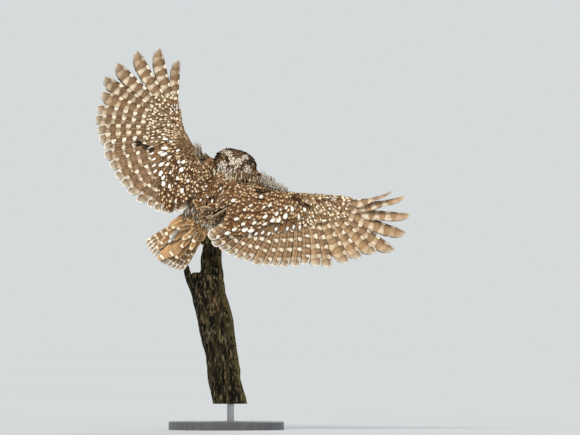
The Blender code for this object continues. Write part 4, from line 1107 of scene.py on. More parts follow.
def feathers(coat, form, roots, headings, normals, lengths, widths, paint, rise=0.12, curl=0.05, camber=0.3,
             sheet=None):
    """Many small feathers at once. paint holds a row for each feather under each name of a shader value.

    sheet is the number of the first free cell of the map, for feathers large enough to have a cell each.
    """
    count = len(roots)
    if not count:
        return
    shares, swell, columns = TUFT[form]
    shares, swell = np.array(shares), np.array(swell)
    across = np.linspace(-1, 1, columns)
    rows = len(shares)
    headings = square_to(headings, normals)
    lead = np.cross(normals, headings)
    lengths, widths = np.broadcast_to(lengths, (count,)), np.broadcast_to(widths, (count,))
    grid_share = np.broadcast_to(shares[None, :, None], (count, rows, columns))
    grid_side = np.broadcast_to(across[None, None, :], (count, rows, columns))
    half = widths[:, None, None] / 2 * swell[None, :, None] * np.ones((1, 1, columns))
    if columns > 3:
        half = half * (1 + DRAW.normal(0, 0.03, (count, rows, 1)))
    bend = (DRAW.normal(0, 0.05, count))[:, None, None]
    rise_each = (rise * np.exp(DRAW.normal(0, 0.25, count)))[:, None, None]
    reach = lengths[:, None, None] * grid_share
    height = reach * (rise_each + curl * grid_share) - camber * half * np.abs(grid_side) ** 1.4
    sideways = half * grid_side + bend * lengths[:, None, None] * grid_share ** 2
    top = (roots[:, None, None, :] + headings[:, None, None, :] * reach[..., None]
           + lead[:, None, None, :] * sideways[..., None] + normals[:, None, None, :] * height[..., None])
    thick = (BLADE_THICKNESS * np.minimum(1.0, widths / 3))[:, None, None, None]
    lower = top - normals[:, None, None, :] * thick
    faces_top, faces_below = blade_faces(rows, columns)
    points = blade_points(top, lower)
    chance = DRAW.random(count)
    chance = np.broadcast_to(chance[:, None, None], grid_share.shape)
    vane = np.stack([grid_share, grid_side, chance], axis=-1)
    tip_gap = lengths[:, None, None] * (1 - grid_share)
    edge_gap = np.minimum(half * (1 - np.abs(grid_side)), tip_gap)
    measure = np.stack([tip_gap, half * grid_side, edge_gap], axis=-1)
    values = {"vane": per_point(vane).reshape(-1, 3), "measure": per_point(measure).reshape(-1, 3)}
    size = points.shape[1]
    for name in ("ground", "mark", "spot", "spread", "trim"):
        values[name] = np.repeat(np.broadcast_to(paint[name], (count, 3)), size, axis=0)
    faces_one = np.concatenate([faces_top, faces_below])
    faces = (faces_one[None] + (np.arange(count) * size)[:, None, None]).reshape(-1, 4)
    if sheet is None:
        home = chart_of(roots, normals)
        spread_one = per_point(np.stack([grid_side * 0.0015, (grid_share - 0.5) * 0.003], axis=-1))
    else:
        cell = sheet + np.arange(count)
        home = (np.stack([cell % SHEET_ROWS, cell // SHEET_ROWS], axis=1) + 0.5) / SHEET_ROWS
        spread_one = per_point(np.stack([grid_side * 0.46, (grid_share - 0.5) * 0.92], axis=-1)) / SHEET_ROWS
    uvs = (home[:, None, :] + spread_one).reshape(-1, 2)
    coat.add(points.reshape(-1, 3), faces, uvs[faces.ravel()], values)


def web(round_from, power, end=0.0):
    """The breadth of a web along it: it widens from the root and closes at the tip, down to the share end."""
    def breadth(shares):
        rising = 0.2 + 0.8 * smooth_step(0.02, 0.6, shares)
        closing = np.clip((shares - round_from) / (1 - round_from), 0, 1)
        return rising * (end + (1 - end) * (1 - closing ** power) ** (1 / power))

    return breadth


def steady(angle):
    """The same tilt all along a feather."""
    return lambda shares: np.full(len(shares), float(angle))


def aimed(coat, form, roots, tips, up, widths, paint, roll=9.0, bow=0.06, **settings):
    """Small feathers from roots to tips, each rolled a little so that it overlaps its neighbour."""
    headings = tips - roots
    lengths = np.linalg.norm(headings, axis=1)
    headings = unit(headings)
    normals = square_to(np.broadcast_to(up, headings.shape), headings)
    side = np.cross(normals, headings)
    angle = np.radians(np.broadcast_to(roll, (len(roots),)))[:, None]
    normals = normals * np.cos(angle) + side * np.sin(angle)
    feathers(coat, form, roots, headings, normals, lengths, widths, paint, rise=bow, curl=-bow, **settings)


def nearest_marks(seen, targets, reach):
    """For each target place the row of the nearest seen place, once each, and how far off it is."""
    found, taken = [], set()
    for target in targets:
        gaps = np.linalg.norm(seen - target, axis=1)
        for row in np.argsort(gaps)[:4]:
            if row not in taken and gaps[row] < reach:
                taken.add(row)
                found.append(row)
                break
        else:
            found.append(-1)
    return np.array(found)


def plume(coat, strip, root, middle, tip, normal, lead, webs, profiles, tilts, paint, rows=26, columns=4,
          thickness=0.34, notches=2, camber=0.1):
    """One large feather. strip is its place in the map, and webs the breadths of its outer and inner web."""
    steps = np.linspace(0, 1, rows)
    shares = 1 - (1 - steps) ** 1.3
    middle_line = bezier(root, middle, tip, shares[:, None])
    heading = bezier_heading(root, middle, tip, shares[:, None])
    across = square_to(lead, heading)
    upward = square_to(normal - along(normal, across) * across, heading)
    angle = np.radians(tilts(shares))[:, None]
    out = across * np.cos(angle) + upward * np.sin(angle)
    up = upward * np.cos(angle) - across * np.sin(angle)
    sides = np.linspace(-1, 1, 2 * columns + 1)
    length = np.linalg.norm(tip - root)
    outer = np.maximum(webs[0] * profiles[0](shares), 0.05)
    inner = np.maximum(webs[1] * profiles[1](shares), 0.05)
    half = np.where(sides[None, :] > 0, outer[:, None], inner[:, None])
    trim = np.ones((rows, len(sides)))
    for _ in range(notches):
        row = int(DRAW.integers(rows // 3, rows - 2))
        edge = 0 if DRAW.random() < 0.7 else -1
        trim[row, edge] = DRAW.uniform(0.78, 0.92)
    ripple = 1 + DRAW.normal(0, 0.012, (rows, 1))
    breadth = half * sides[None, :] * trim * ripple
    wave = 0.25 * np.sin(shares * 9 + DRAW.uniform(0, 6))[:, None] * np.abs(sides)[None, :]
    height = wave - camber * np.abs(breadth) ** 1.2
    height += 0.3 * np.exp(-(sides[None, :] / 0.12) ** 2) * (1 - shares[:, None])
    top = middle_line[:, None, :] + out[:, None, :] * breadth[..., None] + up[:, None, :] * height[..., None]
    thin = thickness * (1 - np.abs(sides)[None, :, None] * 0.6) * (1 - 0.6 * shares[:, None, None])
    lower = top - up[:, None, :] * thin
    faces_top, faces_below = blade_faces(rows, len(sides))
    grid_share = np.broadcast_to(shares[:, None], breadth.shape)
    grid_side = np.broadcast_to(sides[None, :], breadth.shape)
    chance = np.full(breadth.shape, DRAW.random())
    tip_gap = np.broadcast_to((length * (1 - shares))[:, None], breadth.shape)
    edge_gap = np.minimum(np.abs(half) * (1 - np.abs(grid_side)), tip_gap)
    vane = np.stack([grid_share, grid_side, chance], axis=-1)[None]
    measure = np.stack([tip_gap, breadth, edge_gap], axis=-1)[None]
    points = blade_points(top[None], lower[None])
    size = points.shape[1]
    values = {"vane": per_point(vane).reshape(-1, 3), "measure": per_point(measure).reshape(-1, 3)}
    for name in ("ground", "mark", "spot", "spread", "trim"):
        values[name] = np.repeat(np.asarray(paint[name], float)[None], size, axis=0)
    left, width = strip
    field = per_point(np.stack([(grid_side + 1) / 2, grid_share], axis=-1)[None]).reshape(-1, 2)
    upper_map = np.stack([left + width * (0.04 + 0.42 * field[:, 0]), 0.01 + 0.98 * field[:, 1]], axis=1)
    lower_map = np.stack([left + width * (0.54 + 0.42 * field[:, 0]), 0.01 + 0.98 * field[:, 1]], axis=1)
    uvs = np.concatenate([upper_map[faces_top.ravel()], lower_map[faces_below.ravel()]])
    coat.add(points.reshape(-1, 3), np.concatenate([faces_top, faces_below]), uvs, values)


def paint_of(ground, mark, spot=(2, 0, 0), spread=(1, 1, 0), trim=(0.3, 0, 0)):
    return {"ground": ground, "mark": mark, "spot": spot, "spread": spread, "trim": trim}


def scatter(shape, spacing, tree, accept=None, skin_gap=3.0):
    """Evenly spaced places on a shape that lie on the whole skin, with the skin's normal there."""
    points, _, _ = shape
    triangles = triangles_of(shape)
    corners = points[triangles]
    areas = np.linalg.norm(np.cross(corners[:, 1] - corners[:, 0], corners[:, 2] - corners[:, 0]), axis=1) / 2
    tries = int(areas.sum() / spacing ** 2 * 7)
    chosen = DRAW.choice(len(triangles), tries, p=areas / areas.sum())
    a, b = DRAW.random(tries), DRAW.random(tries)
    flip = a + b > 1
    a, b = np.where(flip, 1 - a, a), np.where(flip, 1 - b, b)
    spots = corners[chosen, 0] + a[:, None] * (corners[chosen, 1] - corners[chosen, 0]) \
        + b[:, None] * (corners[chosen, 2] - corners[chosen, 0])
    if accept is not None:
        spots = spots[accept(spots)]
    taken = {}
    found, normals = [], []
    for spot in spots:
        cell = tuple((spot // spacing).astype(int))
        crowded = False
        for x in (-1, 0, 1):
            for y in (-1, 0, 1):
                for z in (-1, 0, 1):
                    for other in taken.get((cell[0] + x, cell[1] + y, cell[2] + z), ()):
                        if np.sum((other - spot) ** 2) < spacing ** 2:
                            crowded = True
        if crowded:
            continue
        place, normal, _, distance = tree.find_nearest(Vector(spot))
        if place is None or distance > skin_gap:
            continue
        taken.setdefault(cell, []).append(spot)
        found.append(place)
        normals.append(normal)
    return np.array(found).reshape(-1, 3), unit(np.array(normals).reshape(-1, 3))


def mixed(share, a, b):
    share = np.asarray(share, float)[:, None]
    return a * (1 - share) + b * share


def chances(count, share):
    return (DRAW.random(count) < share).astype(float)


def rows_of(*columns):
    count = max(np.size(column) for column in columns)
    return np.stack([np.broadcast_to(np.asarray(column, float), (count,)) for column in columns], axis=1)


# Head

def line_distance(points, line):
    best = np.full(len(points), 1e9)
    for start, end in zip(line[:-1], line[1:]):
        span = end - start
        share = np.clip((points - start) @ span / (span @ span), 0, 1)
        best = np.minimum(best, np.linalg.norm(points - start - share[:, None] * span, axis=1))
    return best


def head_paint(shown):
    """Ground colour, pale flecks and white of the crown and nape; shown holds places by the head's axes."""
    x, y, z = shown.T
    count = len(shown)
    back = smooth_step(6, 2, y)
    jitter = DRAW.normal(0, 0.7, count)
    flat = shown[:, [0, 2]]
    left_arm = line_distance(flat, np.array([(-25, 13.2), (-13.2, 10.9), (-6.4, 3.6), (-3.8, -2.3)], float))
    right_arm = line_distance(flat, np.array([(-3.8, -2.3), (3.7, 4.5), (12.5, 12.2)], float))
    lower_line = line_distance(flat, np.array([(-2.4, -12.9), (8.3, 0.6)], float)) + 1.4
    white = smooth_step(4.2, 2.5, np.minimum(np.minimum(left_arm, right_arm), lower_line) + jitter)
    for across, up, wide, tall in ((19.3, -5.6, 5.6, 6.2), (-16.9, -9.3, 7.0, 6.2), (-2.2, -14.5, 8, 4.6),
                                   (9, -12.5, 6, 3.0), (24, 4.5, 1.6, 2.4)):
        blot = np.hypot((x - across) / wide, (z - up) / tall)
        white = np.maximum(white, smooth_step(1.3, 0.9, blot + 0.12 * jitter) * chances(count, 0.97))
    white = white * back * (1 - 0.85 * smooth_step(0.55, 0.8, jitter))
    dark = np.zeros(count)
    for across, up, wide, tall in ((-28.9, 4.5, 6.4, 6.2), (20.7, 7.5, 5.4, 3.8), (8.8, -0.6, 6.3, 3.2),
                                   (-8.5, -9.3, 3.0, 3.2), (13, -8, 2.2, 3.4), (-12, 1.5, 3.0, 4.5)):
        blot = np.hypot((x - across) / wide, (z - up) / tall)
        dark = np.maximum(dark, smooth_step(1.2, 0.85, blot + 0.1 * jitter))
    dark = dark * back * (1 - 0.9 * white)
    ground = mixed(DRAW.random(count), BROWN * 0.78, UMBER * 0.85)
    fleck = chances(count, 0.62) * (1 - dark * 0.75)
    ground = mixed(white * 0.95, ground, mixed([0.45], WHITE, CREAM)[0])
    ground = mixed(dark, ground, DARK * 0.7)
    return ground, fleck, white


def make_head_coat(tree):
    coat = Coat()
    eyes = [head_point(side * EYE_AT[0], 17.5, EYE_AT[2]) for side in (-1, 1)]
    bill = head_point(0, 19, -4)

    def open_face(points):
        clear = np.linalg.norm(points - bill, axis=1) > 4.6
        for eye in eyes:
            clear &= np.linalg.norm(points - eye, axis=1) > 7.6
        return clear

    def is_face(points):
        return in_head(points)[:, 1] > FACE_FRONT

    points, normals = scatter(FLESH["head"], 1.75, tree, lambda p: open_face(p) & ~is_face(p), 2.6)
    places = in_head(points)
    count = len(points)
    heading = unit(-HEAD_FORWARD - HEAD_UP * 0.85 + DRAW.normal(0, 0.13, (count, 3)))
    cheek = smooth_step(0, 9, places[:, 1]) * smooth_step(8, -2, places[:, 2])
    heading = square_to(unit(heading + cheek[:, None] * (-HEAD_UP * 0.6)), normals)
    low = smooth_step(2, -6, places[:, 2])
    lengths = 6.4 + DRAW.normal(0, 0.6, count) + 2.6 * low
    widths = 2.9 + DRAW.normal(0, 0.3, count) + 0.7 * low
    ground, fleck, white = head_paint(in_head(points + heading * lengths[:, None] * 0.72))
    strength = np.maximum(fleck * 0.85, white)
    feathers(coat, "rounded", points - normals * 0.4, heading, normals, lengths, widths, {
        "ground": ground, "mark": mixed(white * 0.6, mixed(DRAW.random(count), BUFF, CREAM), WHITE),
        "spot": rows_of(1.2, 0.0, strength),
        "spread": rows_of(np.where(white > 0.5, 3.0, 0.95), np.where(white > 0.5, 1.3, 0.42), 0.0),
        "trim": rows_of(0.3, 0.35 * (1 - white), 0.35 * (1 - white))}, rise=0.15, curl=-0.04)

    front = join_shapes([FLESH["head"], FLESH["brow_left"], FLESH["brow_right"]])
    points, normals = scatter(front, 1.3, tree, lambda p: open_face(p) & is_face(p), 3.2)
    places = in_head(points)
    count = len(points)
    nearest = np.where(places[:, 0] < 0, 0, 1)
    centre = np.array(eyes)[nearest]
    radial = unit(points - centre)
    middle_line = smooth_step(5.5, 2.0, np.abs(places[:, 0]))
    heading = unit(radial + middle_line[:, None] * (HEAD_UP * np.where(places[:, 2] > 2, 1.0, -0.6)[:, None]))
    reach = np.linalg.norm(points - centre, axis=1)
    outer = smooth_step(13, 18, reach)
    brow_line = np.array([(1, 3), (7, 8.4), (13, 10.6), (21, 9)], float)
    from_brow = line_distance(np.stack([np.abs(places[:, 0]), places[:, 2]], axis=1), brow_line)
    brow = smooth_step(3.6, 2.0, from_brow)
    chin = smooth_step(-8, -11, places[:, 2])
    brown = mixed(DRAW.random(count), BROWN * 0.85, UMBER)
    ground = mixed(DRAW.random(count), GREY * 1.3, CREAM)
    ground = mixed(outer * chances(count, 0.7), ground, brown)
    dark_rim = smooth_step(10.8, 9.0, reach) * smooth_step(4, 0, places[:, 2])
    ground = mixed(dark_rim * 0.55, ground, UMBER)
    ground = mixed(np.maximum(brow, chin), ground, WHITE)
    lores = smooth_step(7, 3, np.abs(places[:, 0])) * smooth_step(-11, -7, places[:, 2]) * (places[:, 2] < 6)
    ground = mixed(lores * (1 - brow) * 0.8, ground, WHITE)
    feathers(coat, "pointed", points - normals * 0.3, heading, normals, 5.4 + DRAW.normal(0, 0.5, count),
             2.3 + DRAW.normal(0, 0.2, count), {
                 "ground": ground, "mark": np.broadcast_to(CREAM, (count, 3)),
                 "spot": rows_of(1.0, 0.0, 0.5 * outer * chances(count, 0.5)),
                 "spread": rows_of(np.full(count, 0.8), 0.5, 0.2),
                 "trim": rows_of(np.full(count, 0.25), 0, 0)},
             rise=0.15, curl=0.0)

    bristles(coat, tree)
    coat.make("coat_head", COAT)


def bristles(coat, tree):
    """The stiff pale bristles round the base of the bill."""
    count = 90
    side = np.where(np.arange(count) % 2 == 0, -1, 1)
    up = DRAW.uniform(-7, 3, count)
    roots = np.array([head_point(s * (3.6 + DRAW.uniform(0, 2.6)), 17.2, u) for s, u in zip(side, up)])
    snapped = [tree.find_nearest(Vector(root)) for root in roots]
    roots = np.array([found[0] for found in snapped])
    normals = unit(np.array([found[1] for found in snapped]))
    heading = unit(HEAD_FORWARD * 0.5 + HEAD_RIGHT * side[:, None] * 0.35 - HEAD_UP * 0.9
                   + DRAW.normal(0, 0.2, (count, 3)))
    ground = mixed(DRAW.random(count) * 0.7, WHITE, GREY)
    feathers(coat, "strand", roots, heading, normals, DRAW.uniform(5, 8, count), np.full(count, 0.6),
             paint_of(ground, CREAM, trim=(0, 0, 0)), rise=0.5, curl=-0.1)


# Body

# Pale ovals of the back: places in the photograph, half length and half breadth in millimetres
BACK_SPOTS = ((201, 193, 3.6, 3.2), (196.5, 196, 3.2, 2.4), (184, 164, 3.4, 3.0), (234, 202, 3.4, 3.2),
              (241, 201, 3.2, 2.6), (259, 200, 3.4, 2.6), (255, 196, 3.2, 3.0), (192, 200.5, 3.0, 1.8),
              (199, 201, 3.4, 1.4), (212, 200, 3.0, 2.2), (224, 200.5, 3.6, 1.6), (208, 176, 2.6, 2.4),
              (228, 171, 3.0, 1.4), (252, 178, 3.0, 1.6), (247, 175, 3.0, 1.4), (241, 171, 2.8, 1.6),
              (219, 188, 2.6, 1.2), (244, 190, 2.6, 2.0), (238, 184, 2.4, 1.6), (207, 185, 2.6, 1.6))

# Pale patches of the nape below the head: places in the photograph, and half breadth and height there
NAPE_PATCHES = ((222, 178.5, 4.6, 2.8), (231, 176, 5.6, 3.2), (246.5, 175.5, 3.6, 3.4), (214, 171, 3.0, 2.0))


def make_body_coat(tree):
    coat = Coat()
    both = join_shapes([FLESH[name] for name in ("torso", "neck", "ruff_left", "ruff_right")])
    points, normals = scatter(both, 2.6, tree)
    thinned = (along(normals, DORSAL)[:, 0] < 0) | (DRAW.random(len(points)) < 0.66)
    points, normals = points[thinned], normals[thinned]
    places = in_body(points)
    ahead = places[:, 1]
    count = len(points)
    back = smooth_step(-0.25, 0.2, along(normals, DORSAL)[:, 0])
    back = np.maximum(back, smooth_step(0.1, -0.3, normals[:, 1]) * smooth_step(18, 26, ahead))
    rump = smooth_step(-24, -38, ahead) * back
    nape = smooth_step(20, 28, ahead) * back
    belly = 1 - back
    heading = unit(np.broadcast_to(-FORWARD, (count, 3)) + DRAW.normal(0, 0.2, (count, 3))
                   + back[:, None] * 0.1 * DORSAL)
    lengths = 11.0 + DRAW.normal(0, 1.0, count) - 1.5 * nape + 1.5 * rump + 1.6 * belly
    widths = 6.8 + DRAW.normal(0, 0.6, count) - 1.2 * nape + 0.4 * rump - 0.8 * belly
    ground = mixed(DRAW.random(count), BROWN * 0.95, UMBER)
    ground = mixed(rump * 0.35, ground, BUFF * 0.8)
    collar = smooth_step(24, 30, ahead) * back * chances(count, 0.3)
    ground = mixed(collar * 0.5, ground, CREAM)
    white = mixed(DRAW.random(count) * 0.5, WHITE, CREAM)
    shown = points + heading * 6.0
    across, down = photo_spots(shown)
    patch = np.zeros(count)
    for middle_across, middle_down, wide, tall in NAPE_PATCHES:
        blot = np.hypot((across - middle_across) / wide, (down - middle_down) / tall)
        patch = np.maximum(patch, smooth_step(1.2, 0.8, blot) * chances(count, 0.85))
    patch = patch * back * (shown[:, 1] < 5)
    ground = mixed(patch * 0.95, ground, mixed(DRAW.random(count) * 0.6, WHITE, CREAM))
    chest = smooth_step(0, 22, ahead) * belly
    ground = mixed(belly * (1 - 0.55 * chest), ground, white)
    strength = np.maximum(chances(count, 0.8) * back * 0.85, chest * chances(count, 0.8))
    tone = mixed(DRAW.random(count) * 0.8, BUFF, CREAM)
    long, wide = 1.7 + DRAW.random(count) * 1.1, 0.8 + DRAW.random(count) * 0.8
    place, side = long + 0.5, DRAW.normal(0, 0.8, count)
    heading = square_to(heading, normals)
    seen = points + heading * (lengths - 3.0)[:, None] + normals * 1.6
    facing = (normals[:, 1] < 0.1) & (back > 0.3)
    targets = np.array([photo_point(across, down, 0) for across, down, _, _ in BACK_SPOTS])[:, [0, 2]]
    flat = np.where(facing[:, None], seen[:, [0, 2]], 1e6)
    for row, (_, _, half_long, half_wide) in zip(nearest_marks(flat, targets, 4.5), BACK_SPOTS):
        if row >= 0:
            strength[row], tone[row] = 1, mixed([0.35], WHITE, CREAM)[0]
            long[row], wide[row], place[row], side[row] = half_long, half_wide, half_long + 0.3, 0
            widths[row] = max(widths[row], 2 * half_wide + 1.6)
            lengths[row] += 1.5
            points[row] += normals[row] * 1.1
    streak = belly * smooth_step(-40, -20, ahead)
    feathers(coat, "rounded", points - normals * 0.6, heading, normals, lengths, widths, {
        "ground": ground, "mark": tone, "spot": rows_of(place, side, strength),
        "spread": rows_of(long, wide, 0.5 * rump + 0.4 * back),
        "trim": rows_of(np.maximum(0.3, streak), 0.3 * back, 0.4 * back)}, rise=0.19, curl=0.0, camber=0.35)
    streaks(coat, points, normals, places, back)
    tufts(coat, tree, (((214, 168.5), (234, 174), 60, (-1.4, 9), 3.4, (CREAM, WHITE), 0.35, 1.0),
                       ((232, 173), (252, 174), 60, (0.6, 9), 3.4, (CREAM, BUFF), 0.45, 1.0),
                       ((206, 170), (214, 178), 30, (-1.0, 8), 3.4, (CREAM, BUFF), 0.6, 1.0)))
    rump_feathers(coat, tree)
    coat.make("coat_body", COAT)


def rump_feathers(coat, tree):
    """The ruffled broad feathers over the base of the tail: brown with pale rims, and a near-black feather
    between them as painted shade of a gap.
    """
    # gap is near-black painted shade laid where the feathers part; lit marks the other feathers
    leaf, pale, gap = BROWN * 1.12, mixed([0.35], CREAM, BROWN)[0], DARK * 0.3
    rows = ((217, 216.5, 206, 217.5, 7.0, 0.5, pale), (223, 213.5, 199.5, 212.5, 12.5, 0.6, leaf),
            (222, 208.5, 208, 204.5, 9, 0.7, leaf), (212, 214.5, 226, 208.5, 4.6, 1.1, gap),
            (212, 217.5, 227.5, 208, 3.8, 1.25, pale), (209, 206.5, 195, 203.5, 6, 0.7, leaf),
            (217, 204.5, 226.5, 201.5, 7, 0.6, leaf), (203, 203.5, 193, 201.5, 6, 0.6, leaf),
            (214, 209.5, 202, 206.5, 5, 1.0, pale), (204, 212.5, 197, 208, 6, 0.5, leaf))
    roots, tips = [], []
    for across, down, tip_across, tip_down, _, out, _ in rows:
        away = skin_behind(tree, across, down, -46)
        roots.append(photo_point(across, down, away))
        tips.append(photo_point(tip_across, tip_down, away - 7 * out))
    count = len(rows)
    widths, colours = np.array([row[4] for row in rows], float), np.array([row[6] for row in rows])
    lit = (colours[:, 0] > DARK[0]).astype(float)
    shift = np.array([0, -1.5, 0])
    up = np.array([0.15, -0.95, -0.3])
    aimed(coat, "broad", np.array(roots) + shift, np.array(tips) + shift, up, widths, {
        "ground": colours, "mark": np.broadcast_to(CREAM, (count, 3)),
        "spot": rows_of(0.5, 0.0, 0.95 * lit), "spread": rows_of(0.9, widths * 0.45, lit),
        "trim": rows_of(0.3 * lit, 0.15, 0.4 * lit)}, roll=0.0, bow=0.14, camber=0.25)


# How high plumage stands over the wing's plane, by its distance behind the leading edge, and the share of
# that height which is left further out along the span
LIFT = ((0, 0.5), (4, 4), (12, 6.8), (24, 7.6), (36, 7.2), (46, 6.4), (60, 5.0), (75, 4.0))
LIFT_ALONG = ((50, 1), (80, 0.8), (110, 0.6), (129, 0.45))

# Rows of coverts: distance behind the leading edge, spacing, length, breadth, and the span where a row ends
COVERT_ROWS = ((5, 3.6, 9, 5.0, 124), (10, 4.2, 11, 6.0, 119), (15.5, 4.6, 12, 6.8, 113),
               (21, 5.0, 13, 7.4, 106), (26.5, 5.3, 14, 7.8, 101), (32, 5.5, 14.5, 8.2, 97),
               (37.5, 5.7, 15, 8.6, 93), (43, 5.9, 15.5, 9.0, 88), (49, 6.0, 16, 9.4, 80),
               (55, 6.2, 17, 9.6, 62), (61, 6.4, 17.5, 9.8, 38), (67, 6.6, 18, 10, 28),
               (73, 6.8, 18, 10, 16), (79, 7.0, 18, 10, 4))


def lift_at(wing, tree, span, gap):
    """How high plumage lies here: over the flesh where there is some, else over the flight feathers."""
    own = table_at(LIFT, gap)[0] * table_at(LIFT_ALONG, span)[0]
    chord = wing.edge(span) + gap
    start = wing.point(span, chord, 42)
    place, _, _, _ = tree.ray_cast(Vector(start), Vector(-wing.normal), 60)
    if place is None:
        return own
    return max(own, wing.places(np.array(place))[2] + 0.6)


def make_coverts(name, tree):
    """The overlapping rows of coverts on the arm, which run on over the shoulder as scapulars."""
    wing = WING[name]
    coat = Coat()
    roots, tips, widths, kinds = [], [], [], []
    for row, (gap, spacing, length, wide, last) in enumerate(COVERT_ROWS):
        span = -27.0 + spacing * DRAW.random() if gap > 18 else -13.0
        while span < last:
            here = span + DRAW.normal(0, 0.8)
            back = gap + DRAW.normal(0, 1.5)
            number = float(nearest_number(wing, max(here, 18) - 4))
            heading = wing.places(wing.shoulder + flight_heading(wing, number))
            front = smooth_step(24, 4, gap)
            inward = smooth_step(16, -16, here)
            run = unit(np.array([heading[0] + 0.5 * front - 0.2 * inward,
                                 max(heading[1], 0.35) * (1 - 0.25 * front)]))
            small = smooth_step(70, 120, here)
            size = length * (1 - 0.25 * small) + DRAW.normal(0, 0.8)
            start = np.array([here, back]) - run * size
            low, high = lift_at(wing, tree, start[0], max(start[1], 1)), lift_at(wing, tree, here, back)
            roots.append(wing.point(start[0], wing.edge(start[0]) + max(start[1], 0.8), low - 0.6))
            top = max(high, low - 2) + 1.6 + DRAW.normal(0, 0.4)
            tips.append(wing.point(here, wing.edge(here) + back, top))
            widths.append(wide * (1 - 0.2 * small) * DRAW.uniform(0.9, 1.1))
            kinds.append(row)
            span += spacing * DRAW.uniform(0.8, 1.2)
    roots, tips, widths, kinds = np.array(roots), np.array(tips), np.array(widths), np.array(kinds)
    count = len(roots)
    lesser = smooth_step(3.5, 0.5, kinds)
    # The coverts' ground is scaled by the wing's painted light and shade
    ground = mixed(DRAW.random(count), BROWN, UMBER * 1.1) * wing.shape["light"][2]
    tip_places = wing.places(tips)
    plain = np.zeros(count)
    if name == "left":
        plain = smooth_step(1.25, 0.75, np.hypot((tip_places[:, 0] - 57) / 30, (tip_places[:, 1] - 19) / 11))
    strength = 0.92 * chances(count, 0.84) * (1 - 0.8 * plain)
    long = 1.5 + DRAW.random(count) * (1.3 - 0.5 * lesser)
    wide = 0.75 + DRAW.random(count) * (1.1 - 0.6 * lesser)
    place = long + 0.5
    side = wing.side * np.abs(DRAW.normal(1.0, 0.7, count)) * (1 - lesser)
    tone = mixed(DRAW.random(count), BUFF, CREAM)
    heading = unit(tips - roots)
    targets = wing.shape["spots"]
    seen = wing.places(tips - heading * 3.6)[:, :2]
    goal = np.array([(span, chord) for span, chord, _, _ in targets])
    for row, (span, chord, half_long, half_wide) in zip(nearest_marks(seen, goal, 7.0), targets):
        if row >= 0:
            strength[row], tone[row] = 1, mixed([0.2 * DRAW.random()], WHITE, CREAM)[0]
            gap = wing.places(tips[row]) - np.array([span, chord, 0])
            run = wing.places(wing.shoulder + heading[row])[:2]
            aside = float(gap[0] * run[1] - gap[1] * run[0]) * wing.side
            place[row] = np.clip(float(gap[:2] @ run), half_long + 0.1, half_long + 3.0)
            side[row] = np.clip(-aside, -widths[row] / 2 + half_wide, widths[row] / 2 - half_wide)
            long[row], wide[row] = half_long * 1.3, half_wide * 0.95
            widths[row] = max(widths[row], 2.1 * half_wide + 2)
            roots[row] += wing.normal * 0.5
            tips[row] += wing.normal * 1.3
    # Coverts inside the dark gaps are painted near black and sunk, as painted shade in the openings; dim picks
    # them out below
    for span, chord, half_long, half_wide, turn in wing.shape["gaps"]:
        gap = seen - np.array([span, chord])
        run = flat_heading(turn)
        inside = np.hypot(gap @ run / half_long, (gap[:, 0] * run[1] - gap[:, 1] * run[0]) / half_wide) < 1
        ground[inside] = DARK * 0.35
        strength[inside] = 0
        tips[inside] -= wing.normal * 2.6
        roots[inside] -= wing.normal
    dim = np.array([np.all(value < DARK * 0.4) for value in ground])
    aimed(coat, "broad", roots, tips, wing.normal, widths, {
        "ground": ground, "mark": tone, "spot": rows_of(place, side, strength),
        "spread": rows_of(long, wide, 0.75 * (1 - 0.5 * plain) * ~dim),
        "trim": rows_of(np.full(count, 0.35), 0.35, 0.6 * (1 - 0.4 * plain) * ~dim)},
        roll=-wing.side * 9.0, bow=0.06, camber=0.24, sheet=0)
    primary_coverts(coat, wing, count)
    gap_feathers(coat, wing, tree)
    coat.make(f"lesser_coverts_{name}", COAT)


# Rows of coverts over the primaries: the share of the primary that they reach, lift and breadth
HAND_ROWS = ((0.39, 3.4, 6.6), (0.34, 3.8, 6.6), (0.29, 4.3, 6.2), (0.24, 4.7, 6.0), (0.19, 5.1, 5.6),
             (0.14, 5.4, 5.2), (0.09, 5.6, 5.0))


